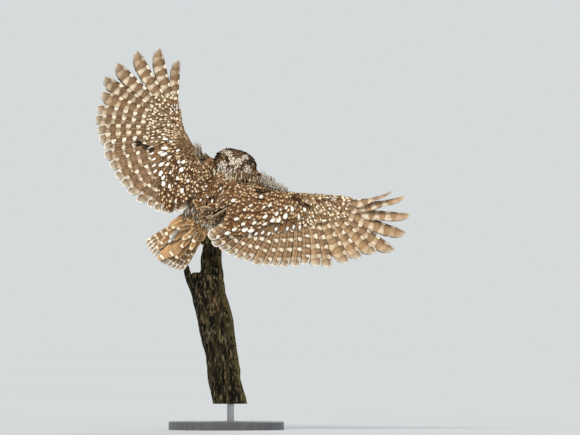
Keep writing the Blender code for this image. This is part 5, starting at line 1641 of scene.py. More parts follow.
def primary_coverts(coat, wing, first_cell):
    """The short rows of coverts over the roots of the primaries."""
    roots, tips, widths = [], [], []
    for reach, lift, wide in HAND_ROWS:
        for number in np.arange(0.4, PRIMARIES + 0.8, 0.62):
            low = int(number)
            root = (np.array(wing.root(low)) * (low + 1 - number)
                    + np.array(wing.root(low + 1)) * (number - low))
            tip_span, tip_chord, _ = wing.tip(number)
            run = np.array([tip_span, tip_chord]) - root
            end = root + run * (reach + DRAW.normal(0, 0.012))
            start = root + run * (reach - 0.16)
            start[1] = max(start[1], wing.edge(start[0]) + 2)
            scale = table_at(LIFT_ALONG, root[0])[0] + 0.15
            roots.append(wing.point(start[0], start[1], (lift - 0.6) * scale))
            tips.append(wing.point(end[0], end[1], (lift + 1.0) * scale))
            widths.append(wide * DRAW.uniform(0.9, 1.1))
    count = len(roots)
    # The hand coverts' ground is scaled by the wing's painted light and shade
    ground = mixed(DRAW.random(count), UMBER * 1.15, FRINGE * 0.85) * wing.shape["light"][3]
    ends = wing.places(np.array(tips))
    leading = smooth_step(15, 6, ends[:, 1] - np.array([wing.edge(span) for span in ends[:, 0]]))
    leading = leading * smooth_step(150, 135, ends[:, 0])
    ground = mixed(leading * chances(count, 0.7) * 0.85, ground, DARK)
    long = np.where(leading > 0.5, 3.2, 1.6 + 0.9 * DRAW.random(count))
    wide = np.where(leading > 0.5, 0.6, 1.1 + 0.7 * DRAW.random(count))
    aimed(coat, "broad", np.array(roots), np.array(tips), wing.normal, np.array(widths), {
        "ground": ground, "mark": mixed(np.maximum(DRAW.random(count) * 0.6, leading), CREAM, WHITE),
        "spot": rows_of(long + 0.6, wing.side * (0.5 + DRAW.random(count)), chances(count, 0.78)),
        "spread": rows_of(long, wide, 0.6 * (1 - leading)),
        "trim": rows_of(np.full(count, 0.4), 0.25, 0.5)}, roll=-wing.side * 9.0, bow=0.05, camber=0.22,
        sheet=first_cell)


def streaks(coat, points, normals, places, back):
    """The broad brown streaks down the pale underside."""
    picked = (back < 0.3) & (places[:, 1] > -34) & (DRAW.random(len(points)) < 0.4)
    points, normals = points[picked], normals[picked]
    count = len(points)
    heading = unit(np.broadcast_to(-FORWARD, (count, 3)) + DRAW.normal(0, 0.1, (count, 3)))
    ground = mixed(DRAW.random(count), BROWN, UMBER)
    feathers(coat, "pointed", points + normals * 0.9, heading, normals, np.full(count, 11.0),
             np.full(count, 3.0), paint_of(ground, CREAM, trim=(0.3, 0.2, 0)), rise=0.14)


# Wings

def nearest_number(wing, spans):
    """The flight feather whose root has this span."""
    roots = np.array([wing.root(number)[0] for number in range(FLIGHT_FEATHERS)])
    return np.interp(-np.asarray(spans), -roots, np.arange(FLIGHT_FEATHERS))


def flight_heading(wing, number):
    low = int(min(number, FLIGHT_FEATHERS - 2))
    share = number - low
    found = []
    for each in (low, low + 1):
        root_span, root_chord = wing.root(each)
        tip_span, tip_chord, _ = wing.tip(each)
        found.append(unit(wing.point(tip_span, tip_chord) - wing.point(root_span, root_chord)))
    return unit(found[0] * (1 - share) + found[1] * share)


def make_wing_coat(name, tree):
    """The small coverts that clothe the arm and hand above and below."""
    wing = WING[name]
    coat = Coat()
    points, normals = scatter(FLESH[f"wing_{name}"], 2.7, tree)
    places = wing.places(points)
    spans, chords, _ = places.T
    count = len(points)
    numbers = nearest_number(wing, spans)
    heading = np.array([flight_heading(wing, number) for number in numbers])
    from_edge = chords - np.array([wing.edge(span) for span in spans])
    front = smooth_step(16, 2, from_edge)
    heading = unit(heading * (1 - 0.35 * front[:, None]) + wing.span * 0.55 * front[:, None]
                   + DRAW.normal(0, 0.1, (count, 3)))
    upper = smooth_step(-0.2, 0.2, along(normals, wing.normal)[:, 0])
    arm = smooth_step(96, 60, spans)
    lengths = 8.2 + 3.4 * smooth_step(4, 24, from_edge) * arm + DRAW.normal(0, 0.6, count)
    widths = 5.2 + 2.0 * smooth_step(4, 24, from_edge) * arm + DRAW.normal(0, 0.35, count)
    ground = mixed(DRAW.random(count), BROWN, UMBER)
    ground = mixed((1 - upper) * 0.85, ground, mixed(DRAW.random(count), CREAM, BUFF))
    rim = smooth_step(3.5, 0.5, from_edge)
    ground = mixed(rim * 0.45 * chances(count, 0.7), ground, CREAM)
    big = chances(count, 0.14) * smooth_step(8, 20, from_edge) * upper
    streak = chances(count, 0.5) * upper * (1 - big)
    strength = np.maximum(big, 0.8 * streak)
    feathers(coat, "rounded", points - normals * 0.4, heading, normals, lengths, widths, {
        "ground": ground, "mark": mixed(big, mixed(DRAW.random(count), BUFF, CREAM), WHITE),
        "spot": rows_of(np.where(big > 0.3, 2.2, 1.3), 0.0, strength),
        "spread": rows_of(np.where(big > 0.3, 2.2, 1.2), np.where(big > 0.3, 1.7, 0.5), 0.12),
        "trim": rows_of(0.3 * upper, 0.2 * upper, 0)}, rise=0.15, curl=-0.02)
    coat.make(f"coat_wing_{name}", COAT)


def flight_paint(number, chance, wing):
    """Where a flight feather's spots begin and how they are spaced, by its place in the wing."""
    share = number / (PRIMARIES - 1)
    # The wing's light factors scale the ground colour: painted light and shade, brighter or darker by wing
    light, innermost = wing.shape["light"][:2]
    if number < PRIMARIES:
        first, step = 16.0 - 1.5 * share, 15.4 - 0.4 * share
        ground = QUILL * (0.84 + 0.14 * share) * light
        first_bar = 0.35 + 0.45 * share
        trim = (0.85 - 0.4 * share, 0.4 + 0.55 * share, 0.15 + 0.5 * share)
        spread = (3.2 + 0.6 * DRAW.random(), 3.3 + 0.9 * DRAW.random(), 0.72)
    else:
        first, step = 13.5, 15.4
        ground = QUILL * light * (innermost if number > 18 else 1.0)
        first_bar = 0.5 + 0.5 * DRAW.random()
        trim = (0.4, 1.0, 0.7)
        spread = (1.8 + 1.2 * DRAW.random(), 2.4 + 1.1 * DRAW.random(), 0.48 + 0.14 * DRAW.random())
    first += DRAW.normal(0, 1.3)
    mark = mixed([DRAW.random()], mixed([0.4], WHITE, CREAM)[0], CREAM)[0]
    return paint_of(ground * (0.9 + 0.2 * chance), mark, (first, step, first_bar), spread, trim)


# Broad coverts over the base of the tail: root and tip in the photograph, lift, breadth and kind
TAIL_TOPS = (((190, 226), (176, 229), 5.0, 8, "soft"), ((184, 222), (171, 227.5), 5.0, 9, "soft"),
             ((193, 232), (182, 240), 5.2, 8, "soft"), ((196, 228), (188, 238), 5.0, 8, "soft"),
             ((186, 230), (172, 240), 5.0, 9, "soft"), ((199, 233), (193, 243), 4.6, 8, "soft"),
             ((180, 227), (165, 235), 4.4, 9, "bold"), ((190, 238), (181, 248), 4.6, 8, "bold"),
             ((197, 238), (190, 250), 4.2, 7, "bold"), ((176, 233), (160, 244), 4.0, 9, "bold"),
             ((172, 236), (156, 249), 3.6, 9, "bold"), ((187, 246), (176, 259), 3.6, 9, "bold"),
             ((186, 237), (158.5, 259.5), 2.6, 15, "plain"), ((190, 239), (168, 256), 3.4, 14, "plain"),
             ((179, 230), (169.5, 238), 6.4, 6.0, "pale"), ((175, 236), (168.5, 242.5), 6.2, 4.6, "pale"))

# How bright each kind is, how strong its spot and how dark its middle
TAIL_KINDS = {"soft": (1.12, 1.0, 0.5), "bold": (0.95, 1.0, 0.6), "plain": (1.12, 1.0, 0.35)}


def broad_web(shares):
    """A feather as broad near its root as at its middle, with a round tip."""
    closing = np.clip((shares - 0.68) / 0.32, 0, 1)
    return (0.7 + 0.3 * smooth_step(0, 0.35, shares)) * np.sqrt(1 - closing ** 2.4)


def tail_tops(coverts, next_strip, on_tail, sideways, normal):
    for (across, down), (tip_across, tip_down), lift, wide, kind in TAIL_TOPS:
        root = on_tail(across, down, lift)
        tip = on_tail(tip_across, tip_down, lift + (-1.0 if kind == "plain" else 0.6))
        heading = unit(tip - root)
        if kind == "pale":
            ground = mixed([DRAW.random() * 0.6], WHITE * 0.9, GREY * 1.1)[0]
            paint = paint_of(ground, WHITE, (3, 0, 0.6), (3, 2, 0), (0.2, 0.1, 0.1))
        else:
            bright, strength, middle_dark = TAIL_KINDS[kind]
            spot = (3.2, DRAW.normal(0, 0.8), strength)
            spread = (1.7 + 0.7 * DRAW.random(), 2.8 + DRAW.random(), 3.2)
            if kind == "plain":
                spot, spread = (6.5, 0.4, strength), (2.2, 4.8, 3.2)
            bright *= DRAW.uniform(0.8, 1.15)
            paint = paint_of(LIT_TAIL_BROWN * bright, mixed([DRAW.random() * 0.6], CREAM, WHITE)[0], spot, spread,
                             (0.5, 0.3, middle_dark))
        plume(coverts, next_strip(), root, (root + tip) / 2 + normal * 0.8, tip, normal,
              square_to(sideways, heading), (wide / 2, wide / 2), (broad_web, broad_web),
              steady(DRAW.normal(0, 3)), paint, rows=20, columns=3, thickness=0.3, notches=1, camber=0.05)


# The share of a flight feather that the large coverts over it reach, by the feather's number
COVERT_REACH = ((0, 0.3), (4, 0.33), (9, 0.42), (10, 0.44), (13, 0.45), (17, 0.55), (21, 0.56))


def strip_counter():
    """Hands out strips of the map from left to right, one or more broad."""
    used = 0

    def strip(breadth=1):
        nonlocal used
        used += breadth
        return (used - breadth) / MAP_STRIPS, breadth / MAP_STRIPS

    return strip


def make_quills(name):
    """The flight feathers and the rows of large coverts over and under them."""
    wing = WING[name]
    quills, coverts = Coat(), Coat()
    strip = strip_counter()

    for number in range(FLIGHT_FEATHERS):
        root_span, root_chord = wing.root(number)
        tip_span, tip_chord, lift = wing.tip(number)
        root = wing.point(root_span, root_chord)
        tip = wing.point(tip_span, tip_chord, lift)
        bow = np.linalg.norm(tip - root) * 2 * table_at(wing.shape["bow"], number)[0]
        lead = wing.lead(unit(tip - root))
        middle = (root + tip) / 2 + lead * bow + wing.normal * (2.5 - lift * 0.42)
        if number < PRIMARIES:
            share = number / (PRIMARIES - 1)
            webs = (3.2 + 3.9 * share, (12.0 if number == 0 else 15.8 + 0.4 * share))
            profiles = (web(0.88, 3.0, 0.3 * (1 - share)), web(0.76 + 0.04 * share, 2.1))
        else:
            share = (number - PRIMARIES) / (FLIGHT_FEATHERS - PRIMARIES - 1)
            webs = (8.5 - share, 15 - 3 * share)
            profiles = (web(0.84, 2.3), web(0.8, 2.1))
        twist = wing.twist(number)
        plume(quills, strip(2), root, middle, tip, wing.normal, lead, webs, profiles,
              lambda s, t=twist: FEATHER_TILT + 3 - 6 * s - t * smooth_step(0.3, 0.75, s),
              flight_paint(number, DRAW.random(), wing), rows=38, columns=4, thickness=0.4, notches=3)

    def covert(number, reach, lift, webs, paint):
        whole = min(number, FLIGHT_FEATHERS - 1)
        low = int(min(whole, FLIGHT_FEATHERS - 2))
        root_low, root_high = np.array(wing.root(low)), np.array(wing.root(low + 1))
        root_span, root_chord = root_low + (root_high - root_low) * (whole - low)
        tip_span, tip_chord, tip_lift = wing.tip(whole)
        end_span = root_span + (tip_span - root_span) * reach
        end_chord = root_chord + (tip_chord - root_chord) * reach
        root = wing.point(root_span, max(root_chord, wing.edge(root_span) + 3), lift * 0.45)
        tip = wing.point(end_span, end_chord, lift + tip_lift * reach * reach)
        middle = (root + tip) / 2 + wing.normal * lift * 0.55
        plume(coverts, strip(), root, middle, tip, wing.normal, wing.lead(unit(tip - root)), webs,
              (web(0.66, 2.0), web(0.66, 2.0)), steady(FEATHER_TILT - 1), paint, rows=18, columns=3,
              thickness=0.3, notches=1)

    for number in np.arange(0.5, FLIGHT_FEATHERS - 0.4, 0.9):
        hand = number < PRIMARIES
        ground = mixed([DRAW.random()], BROWN, UMBER * 1.2 if hand else QUILL)[0]
        reach = table_at(COVERT_REACH, number)[0]
        if hand:
            spot, spread, mark = (4.6, 1.0, 1.0), (2.2, 3.0, 0.9), CREAM
        else:
            spot, spread, mark = (4.4, 2.4, chances(1, 0.85)[0]), (3.6, 2.4, 0.8), WHITE
        covert(number, reach + DRAW.normal(0, 0.012), 2.6 if hand else 3.2,
               (4.6, 6.6) if hand else (5.4, 7.4), paint_of(ground, mark, spot, spread, (0.45, 0.2, 0.4)))
    for number in np.arange(1.0, FLIGHT_FEATHERS - 1.0, 0.9):
        ground = mixed([DRAW.random()], CREAM, GREY)[0]
        reach = UNDER_REACH if number >= PRIMARIES else 0.36
        covert(number, reach, -3.0, (6.5, 6.5),
               paint_of(ground, QUILL, (2.5, 0, 0.4), (2, 1.4, 0), (0.2, 0, 0)))
    for step in range(4):
        root_span = WRIST_SPAN + 2
        edge = wing.edge(root_span)
        root = wing.point(root_span, edge + 4 + step * 0.6, 1.5)
        end_span = root_span + 53 - 8 * step
        tip = wing.point(end_span, wing.edge(end_span) + 1 + step * 4.5, 3.6 + step * 1.1)
        middle = (root + tip) / 2 + wing.normal * 1.5
        paint = paint_of(UMBER, CREAM, (5.0 + 3 * step, 1.0, 1.0), (2.4, 2.6, 0.9), (0.4, 0.4, 0.6))
        plume(coverts, strip(), root, middle, tip, wing.normal, wing.lead(unit(tip - root)), (3, 4.6),
              (web(0.75, 2.0), web(0.75, 2.0)), steady(FEATHER_TILT), paint, rows=18, columns=2,
              thickness=0.3)
    quills.make(f"quills_{name}", QUILLS)
    coverts.make(f"coverts_{name}", COAT)


# Tail

# Rows of upper tail coverts: how many, length, lift, spacing and breadth
TAIL_ROWS = ((9, 46, 3.0, 4.2, 6.4), (10, 37, 3.8, 4.4, 5.6), (10, 29, 4.6, 4.6, 5.0), (9, 21, 5.4, 4.8, 4.6),
             (8, 14, 6.2, 5.0, 4.2))


def make_tail():
    axis, sideways, normal, start = tail_axes()
    rects, coverts = Coat(), Coat()

    def place(side, reach, lift):
        return start + side * sideways + reach * axis + lift * normal

    def on_tail(across, down, lift):
        flat = photo_point(across, down, 0)
        return flat + np.array([0, (lift - (flat - start) @ normal) / normal[1], 0])

    def tail_plume(coat, strip, turn, side, begin, length, lift, webs, lead_side, tilt, paint, round_from,
                   rows):
        heading = axis * math.cos(math.radians(turn)) + sideways * math.sin(math.radians(turn))
        root = place(side, begin, lift * 0.8)
        tip = place(side, begin, lift) + heading * length - normal * 1.5
        middle = (root + tip) / 2 + normal * 1.5
        lead = square_to(sideways * lead_side, heading)
        profile = web(round_from, 2.2)
        plume(coat, strip, root, middle, tip, normal, lead, webs, (profile, profile), steady(tilt), paint,
              rows=rows, columns=3, thickness=0.36, notches=2)

    for number in range(TAIL_FEATHERS):
        from_middle = number - (TAIL_FEATHERS - 1) / 2
        right = from_middle > 0
        order = int(abs(from_middle))
        share = from_middle / (TAIL_FEATHERS / 2 - 0.5)
        turn, length, room = TAIL_SIDES[right]
        lift = 0.0 if order == 0 else -1.3 - 0.35 * (order - 1)
        lift -= (0.8 if order == 0 else 0.5) if right else 0.0
        webs = (7.2, 7.2) if order == 0 else (5.0, 9.5)
        reach = TAIL_LENGTH + (length - TAIL_LENGTH) * share ** 2
        ground = mixed([0.1 if order == 0 else 0.35], LIT_TAIL_BROWN * 1.05, UMBER * 1.15)[0]
        paint = paint_of(ground, CREAM, (9.0 + DRAW.normal(0, 0.6), 9.8, 1.0), (2.0, 2.0, 0.85),
                         (0.1 if order == 0 else 0.25, 1.0, 0.75 if order == 0 else 0.5))
        tail_plume(rects, (number / TAIL_FEATHERS, 1 / TAIL_FEATHERS), turn * share, from_middle * room, 0,
                   reach, lift, webs, 1 if right else -1, 0 if order == 0 else 5, paint, 0.86, 34)
    next_strip = strip_counter()
    for tier, (number, length, lift, step, wide) in enumerate(TAIL_ROWS):
        for each in range(number):
            from_middle = each - (number - 1) / 2 + DRAW.normal(0, 0.12)
            # The tail coverts' browns are painted brighter, as painted light on the tail
            ground = mixed([DRAW.random()], LIT_TAIL_BROWN * 1.2, BROWN * 1.25)[0]
            paint = paint_of(ground, mixed([DRAW.random()], CREAM, BUFF)[0],
                             (2.6 + 2 * DRAW.random(), DRAW.normal(0, 1.6), chances(1, 0.75)[0]),
                             (1.2 + 0.9 * DRAW.random(), 1.4 + 1.8 * DRAW.random(), 1.6), (0.25, 0.2, 0.5))
            tail_plume(coverts, next_strip(), from_middle * step, from_middle * 2.7, 2 - 4 * tier,
                       length - 1.5 * abs(from_middle) + DRAW.normal(0, 1.6), lift - 0.5 * abs(from_middle),
                       (wide, wide), 1 if from_middle > 0 else -1, 4 + DRAW.normal(0, 3), paint, 0.6, 16)
    tail_tops(coverts, next_strip, on_tail, sideways, normal)
    for each in range(9):
        from_middle = each - 4
        paint = paint_of(mixed([DRAW.random()], WHITE, CREAM)[0], BROWN, (4, 0, 0.3), (3, 1, 0), (0.3, 0, 0))
        tail_plume(coverts, next_strip(), from_middle * 4.5, from_middle * 2.4, 2, 36 - abs(from_middle),
                   -7.0 + 0.35 * abs(from_middle), (5.5, 5.5), 1 if from_middle > 0 else -1, -3, paint, 0.6,
                   14)
    rects.make("tail_feathers", QUILLS)
    coverts.make("tail_coverts", COAT)


# Legs, feet and down

def make_leg_coat(tree):
    coat = Coat()
    for name in LEGS:
        for part, spacing, length, width in (("thigh", 2.4, 9.0, 3.6), ("shank", 1.5, 5.4, 1.7)):
            points, normals = scatter(FLESH[f"{part}_{name}"], spacing, tree)
            count = len(points)
            heading = unit(np.array([0, 0.35, -1.0])) + DRAW.normal(0, 0.14, (count, 3))
            ground = mixed(DRAW.random(count) * 0.6, WHITE, CREAM * 0.8)
            ground = mixed(chances(count, 0.15) * 0.6, ground, BROWN)
            feathers(coat, "pointed", points - normals * 0.3, unit(heading), normals,
                     length + DRAW.normal(0, 0.7, count), np.full(count, width),
                     paint_of(ground, CREAM, trim=(0.2, 0, 0)), rise=0.2, curl=-0.05)
    coat.make("coat_legs", COAT)


def wisps(coat, centre, heading, spread, count, length, width, colours, fan=0.35, dark=0.0):
    """Loose soft barbs that stand up from one place."""
    roots = centre + DRAW.normal(0, 1, (count, 3)) * np.asarray(spread)
    directions = unit(heading + DRAW.normal(0, fan, (count, 3)))
    normals = square_to(np.array([-0.3, -0.9, 0.5]) + DRAW.normal(0, 0.3, (count, 3)), directions)
    tone = mixed(DRAW.random(count), colours[0], colours[1])
    tone = mixed(chances(count, dark) * 0.85, tone, UMBER)
    feathers(coat, "strand", roots, directions, normals, length * DRAW.uniform(0.55, 1.15, count),
             np.full(count, width), {"ground": tone, "mark": tone, "spot": (0, 0, 0.85),
                                     "spread": (60, 60, 0), "trim": (0, 0, 0)}, rise=0.05, curl=0.12)


def gap_feathers(coat, wing, tree):
    """Near-black feathers laid in the openings between coverts that the wind has lifted, as painted shade."""
    for span, chord, half_long, half_wide, turn in wing.shape["gaps"]:
        run = flat_heading(turn)
        aside = np.array([-run[1], run[0]])
        roots, tips = [], []
        for share in (-0.7, -0.25, 0.25, 0.7):
            middle = np.array([span, chord]) + aside * share * half_wide
            for places, end in ((roots, -1), (tips, 1)):
                where = middle + run * end * half_long * (1 - 0.3 * abs(share)) + DRAW.normal(0, 0.9, 2)
                gap = max(where[1] - wing.edge(where[0]), 1)
                places.append(wing.point(where[0], where[1], lift_at(wing, tree, where[0], gap) + 0.9))
        count = len(roots)
        # The feathers' near-black colours are painted shade
        aimed(coat, "pointed", np.array(roots), np.array(tips), wing.normal, np.full(count, half_wide * 0.5),
              {"ground": mixed(DRAW.random(count), DARK * 0.4, UMBER * 0.7), "mark": DARK, "spot": (0, 0, 0),
               "spread": (1, 1, 0), "trim": (0, 0, 0)}, roll=0.0, bow=0.04)


def tufts(coat, tree, areas):
    """Soft loose feathers on the body; their roots lie along lines between two places of the photograph."""
    for (a, b), (c, d), number, length, width, colours, dark, out in areas:
        for _ in range(number):
            share, jitter = DRAW.random(), DRAW.normal(0, 1.2, 2)
            across, down = a + (c - a) * share + jitter[0], b + (d - b) * share + jitter[1]
            away = max(skin_behind(tree, across, down, -30), -38)
            root = photo_point(across, down, away - 0.8)
            heading = unit(np.array([length[0], -out, -length[1]]) + DRAW.normal(0, 0.1, 3))
            reach = math.hypot(*length) * DRAW.uniform(0.75, 1.2)
            tone = mixed([DRAW.random()], colours[0], colours[1])
            if DRAW.random() < dark:
                tone = tone * 0.2 + UMBER * 0.8
            normal = unit(np.array([DRAW.normal(0, 0.4), -1.0, 0.2]))
            feathers(coat, "pointed", root[None], heading[None], normal[None], [reach], [width],
                     {"ground": tone, "mark": tone[0], "spot": (0, 0, 0.6), "spread": (60, 60, 0),
                      "trim": (0.35, 0, 0)}, rise=0.03, curl=0.02)


def make_down(tree):
    """Loose pale down at the shoulders, the flank, the vent and the neck."""
    coat = Coat()
    pale = (WHITE, mixed([0.6], WHITE, CREAM)[0])
    drab = (WHITE * 0.95, mixed([0.5], GREY, CREAM)[0])
    wisps(coat, photo_point(200.5, 156.5, -22), unit((-0.22, -0.1, 1)), (1.9, 2.0, 2.0), 44, 18, 1.3, drab,
          0.14, 0.4)
    wisps(coat, photo_point(197, 150, -20), unit((-0.1, -0.1, 1)), (0.9, 1.4, 1.5), 14, 12, 1.2, pale, 0.12,
          0.1)
    for step in range(8):
        across = 256 + 4 * step
        wisps(coat, photo_point(across, 184 + 0.9 * step, -14), unit((0.25 - 0.06 * step, -0.1, 0.9)),
              (2.6, 2.5, 1.4), 110, (13, 15, 17, 14, 11, 9, 7, 5)[step], 1.7, pale, 0.42)
    wisps(coat, photo_point(265, 181, -16), unit((-0.05, -0.1, 1)), (1.4, 1.5, 1.5), 16, 17, 1.3, pale, 0.1)
    wisps(coat, photo_point(272, 182, -15), unit((-0.05, -0.1, 1)), (1.0, 1.5, 1.5), 8, 9, 1.4,
          (BUFF, BROWN), 0.1)
    tufts(coat, tree, (
        ((186, 202), (199, 204), 60, (-2.5, 21), 3.2, drab, 0.42, 0.6),
        ((189, 196), (200, 203), 30, (-3.5, 15), 2.8, (GREY, BROWN), 0.4, 1.0),
        ((197, 216), (212, 220), 60, (-2.0, 9), 3.0, (CREAM, mixed([0.4], GREY, CREAM)[0]), 0.12, 1.2),
        ((203, 220), (212, 223), 26, (-1.5, 10), 2.6, pale, 0.1, 1.0),
        ((198, 208), (205, 214), 26, (-5.0, 9), 2.8, (GREY, BROWN), 0.35, 1.0)))
    coat.make("down", COAT)


def ball_shape(middle, radius, sides=24, rows=16):
    rings = []
    for row in range(1, rows):
        angle = math.pi * row / rows
        rings.append(ring_of(middle - np.array([0, 0, radius * math.cos(angle)]),
                             np.array([radius * math.sin(angle), 0, 0]),
                             np.array([0, radius * math.sin(angle), 0]), sides))
    return loft(rings)


def toe_path(foot, turn):
    angle = math.radians(turn)
    out = np.array([math.sin(angle), math.cos(angle), 0.0])
    path = []
    for share in (0, 0.25, 0.5, 0.75, 1):
        drop = -0.6 + 10.5 * max(0.0, share - 0.35) ** 1.7
        path.append(foot + out * TOE_LENGTH * share - np.array([0, 0, drop]))
    return np.array(path)


def make_feet():
    shapes, claws, coat = [], [], Coat()
    for leg in LEGS.values():
        foot = BODY_CENTRE + np.array(leg["foot"], float)
        shapes.append(ball_shape(foot, PAD_RADIUS))
        for turn in leg["toes"]:
            path = toe_path(foot, turn)
            fine = fine_path(path, 22)
            swell = np.interp(np.linspace(0, 1, 22), (0, 0.25, 0.5, 0.75, 1), (1.1, 1, 1.05, 0.92, 0.78))
            knuckle = 1 + 0.07 * np.sin(np.linspace(0, 1, 22) * math.pi * 6)
            shapes.append(limb(fine, TOE_RADIUS * swell * knuckle, 18))
            heading = unit(path[-1] - path[-2])
            start = path[-1] - heading * 0.3
            middle = start + heading * CLAW_LENGTH * 0.55
            tip = start + heading * CLAW_LENGTH * 0.45 - np.array([0, 0, CLAW_LENGTH * 0.75])
            curve = [bezier(start, middle, tip, share) for share in np.linspace(0, 1, 18)]
            radii = np.interp(np.linspace(0, 1, 18), (0, 0.3, 0.6, 0.85, 1), (1.7, 1.4, 1.0, 0.6, 0.15))
            claws.append(limb(curve, radii, 14))
            count = 46
            at = DRAW.uniform(0.05, 0.72, count)
            spots = np.array([fine[int(share * 21)] for share in at])
            direction = unit(path[-1] - path[0])
            lateral = np.cross(direction, [0, 0, 1.0])
            lean = DRAW.uniform(-1.0, 1.0, count)[:, None]
            normals = unit(np.array([0, 0, 1.0]) * (1 - 0.5 * np.abs(lean)) + lateral * lean)
            ground = mixed(DRAW.random(count), WHITE, CREAM * 0.8)
            feathers(coat, "strand", spots + normals * TOE_RADIUS * 0.85,
                     np.broadcast_to(direction, (count, 3)), normals, DRAW.uniform(3, 4.6, count),
                     np.full(count, 0.7), paint_of(ground, CREAM, trim=(0, 0, 0)), rise=0.25, curl=-0.1)
    place_piece(write_shape("toes", join_shapes(shapes), TOES), "toe", "foot_left", "foot_right")
    claw_nodes = [f"claw_{side}_{number}" for side in ("left", "right") for number in (1, 2, 3, 4)]
    place_piece(write_shape("claws", join_shapes(claws), CLAWS), "claw", *claw_nodes)
    coat.make("toe_bristles", COAT)


# Eyes and bill

def make_eyes():
    for name, side in (("left", -1), ("right", 1)):
        axis = turned(HEAD_FORWARD, HEAD_UP, -side * EYE_SPREAD)
        middle = head_point(side * EYE_AT[0], EYE_AT[1], EYE_AT[2])
        wide = square_to(HEAD_RIGHT, axis)
        tall = np.cross(axis, wide)
        rings, marks = [], []
        steps, sides = 40, 56
        for row in range(1, steps):
            angle = math.pi * row / steps
            bulge = 1 + 0.035 * math.exp(-(angle / 0.55) ** 2)
            radius = EYE_RADIUS * bulge
            rings.append(ring_of(middle + axis * radius * math.cos(angle), wide * radius * math.sin(angle),
                                 tall * radius * math.sin(angle), sides))
            marks += [(angle / (math.pi / 2), math.cos(2 * math.pi * step / sides), 0)
                      for step in range(sides)]
        marks += [(0, 0, 0), (2, 0, 0)]
        shape = outward(loft(rings, middle + axis * EYE_RADIUS * 1.035, middle - axis * EYE_RADIUS))
        piece = write_shape(f"eyeball_{name}", shape, EYE, {"ring": np.array(marks, float)})
        place_piece(piece, "eye", f"eye_{name}")
        rims = []
        for step in range(49):
            turn = 2 * math.pi * step / 48
            arm = -math.cos(turn) * wide * -side + math.sin(turn) * tall
            upper = max(0.0, float(arm @ HEAD_UP))
            thick = 0.8 + 0.35 * upper
            rims.append(ring_of(middle + axis * (4.6 + 0.5 * upper) + arm * (6.7 - 0.55 * upper), arm * thick,
                                axis * thick * 1.2, 12))
        rims = np.array(rims[:-1])
        count, around = rims.shape[:2]
        index = np.arange(count * around).reshape(count, around)
        after = np.roll(index, -1, axis=0)
        quads = np.stack([index, np.roll(index, -1, axis=1), np.roll(after, -1, axis=1), after], axis=-1)
        piece = write_mesh(f"lids_{name}", rims.reshape(-1, 3), [quads.reshape(-1, 4)], LIDS)
        place_piece(piece, "bill")


# Stations of the bill by the head's axes: ahead, up, half breadth and half depth
BILL_TOP = ((13, -0.4, 4.6, 4.4), (17, -0.6, 4.8, 4.6), (20.5, -1.6, 4.4, 4.2), (23.4, -3.8, 3.4, 3.6),
            (25.2, -6.8, 2.3, 2.9), (25.7, -9.8, 1.3, 1.9), (25.2, -12.4, 0.3, 0.4))
BILL_BOTTOM = ((13, -7.6, 3.4, 1.6), (18, -7.9, 3.2, 1.6), (21.4, -8.7, 2.2, 1.3), (23.2, -9.8, 0.9, 0.7))


def make_bill():
    for node, stations in (("bill_upper", BILL_TOP), ("bill_lower", BILL_BOTTOM)):
        table = fine_path(np.array(stations, float), 30)
        rings = []
        for index, (forward, up, wide, deep) in enumerate(table):
            before, after = table[max(index - 1, 0)], table[min(index + 1, len(table) - 1)]
            heading = unit((after[0] - before[0]) * HEAD_FORWARD + (after[1] - before[1]) * HEAD_UP)
            across = np.cross(heading, HEAD_RIGHT)
            rings.append(ring_of(head_point(0, forward, up), HEAD_RIGHT * max(wide, 0.15),
                                 across * max(deep, 0.15), 32))
        points, quads, caps = outward(loft(rings))
        if node == "bill_upper":
            for side in (-1, 1):
                hole = head_point(side * 3.9, 20.3, 0.2)
                gap = np.linalg.norm(points - hole, axis=1)
                points = points - HEAD_RIGHT * side * (1.1 * np.exp(-(gap / 0.9) ** 2))[:, None]
        place_piece(write_shape(f"{node}_horn", (points, quads, caps), BILL), "bill", node)


# Stick, moss and stand

def stick_surface(stations, seed, sides, rows):
    """The shape of a length of stick, with how worn and how overgrown each of its points is."""
    table = np.array(stations, float)
    heights = np.concatenate([np.linspace(table[0, 0], table[2, 0], 10)[:-1],
                              np.linspace(table[2, 0], table[-1, 0], rows)])
    rings, worn, lichen = [], [], []
    for up in heights:
        side, wide = (np.interp(-up, -table[:, 0], column) for column in table.T[1:])
        ring = []
        for step in range(sides):
            angle = 2 * math.pi * step / sides
            bark = BARK_DEPTH * (math.sin(3 * angle + up * 0.05 + seed) * 0.5
                                 + math.sin(7 * angle - up * 0.11 + 2 * seed) * 0.5) * min(1.0, wide / 14)
            spot = Vector((math.cos(angle) * wide * 0.22, math.sin(angle) * wide * 0.22,
                           up * 0.035 + seed * 9))
            ridge = noise.noise(spot) + 0.5 * noise.noise(spot * 2.3) + 0.28 * noise.noise(spot * 5.1)
            rough = 1.5 * ridge * min(1.0, wide / 12)
            reach = wide + bark + rough - 0.2
            x, y = math.cos(angle), math.sin(angle)
            lift = 0.0
            if up > table[2, 0] - 1:
                lift = 0.5 * noise.noise(Vector((x * wide * 0.5, y * wide * 0.5, 3.0)))
            ring.append(BODY_CENTRE + np.array([side + reach * x, STICK_AWAY + 0.9 * reach * y, up + lift]))
            worn.append(math.exp(-((up + 152) / 14) ** 2) * max(0.0, -y + 0.2) * (x > -0.1))
            lichen.append(max(0.0, x - 0.25) * 1.3 + 0.45 * math.exp(-((up + 75) / 14) ** 2))
        rings.append(ring)
    shape = loft(rings)
    return shape, np.array(worn + [0, 0]), np.array(lichen + [0.3, 0])


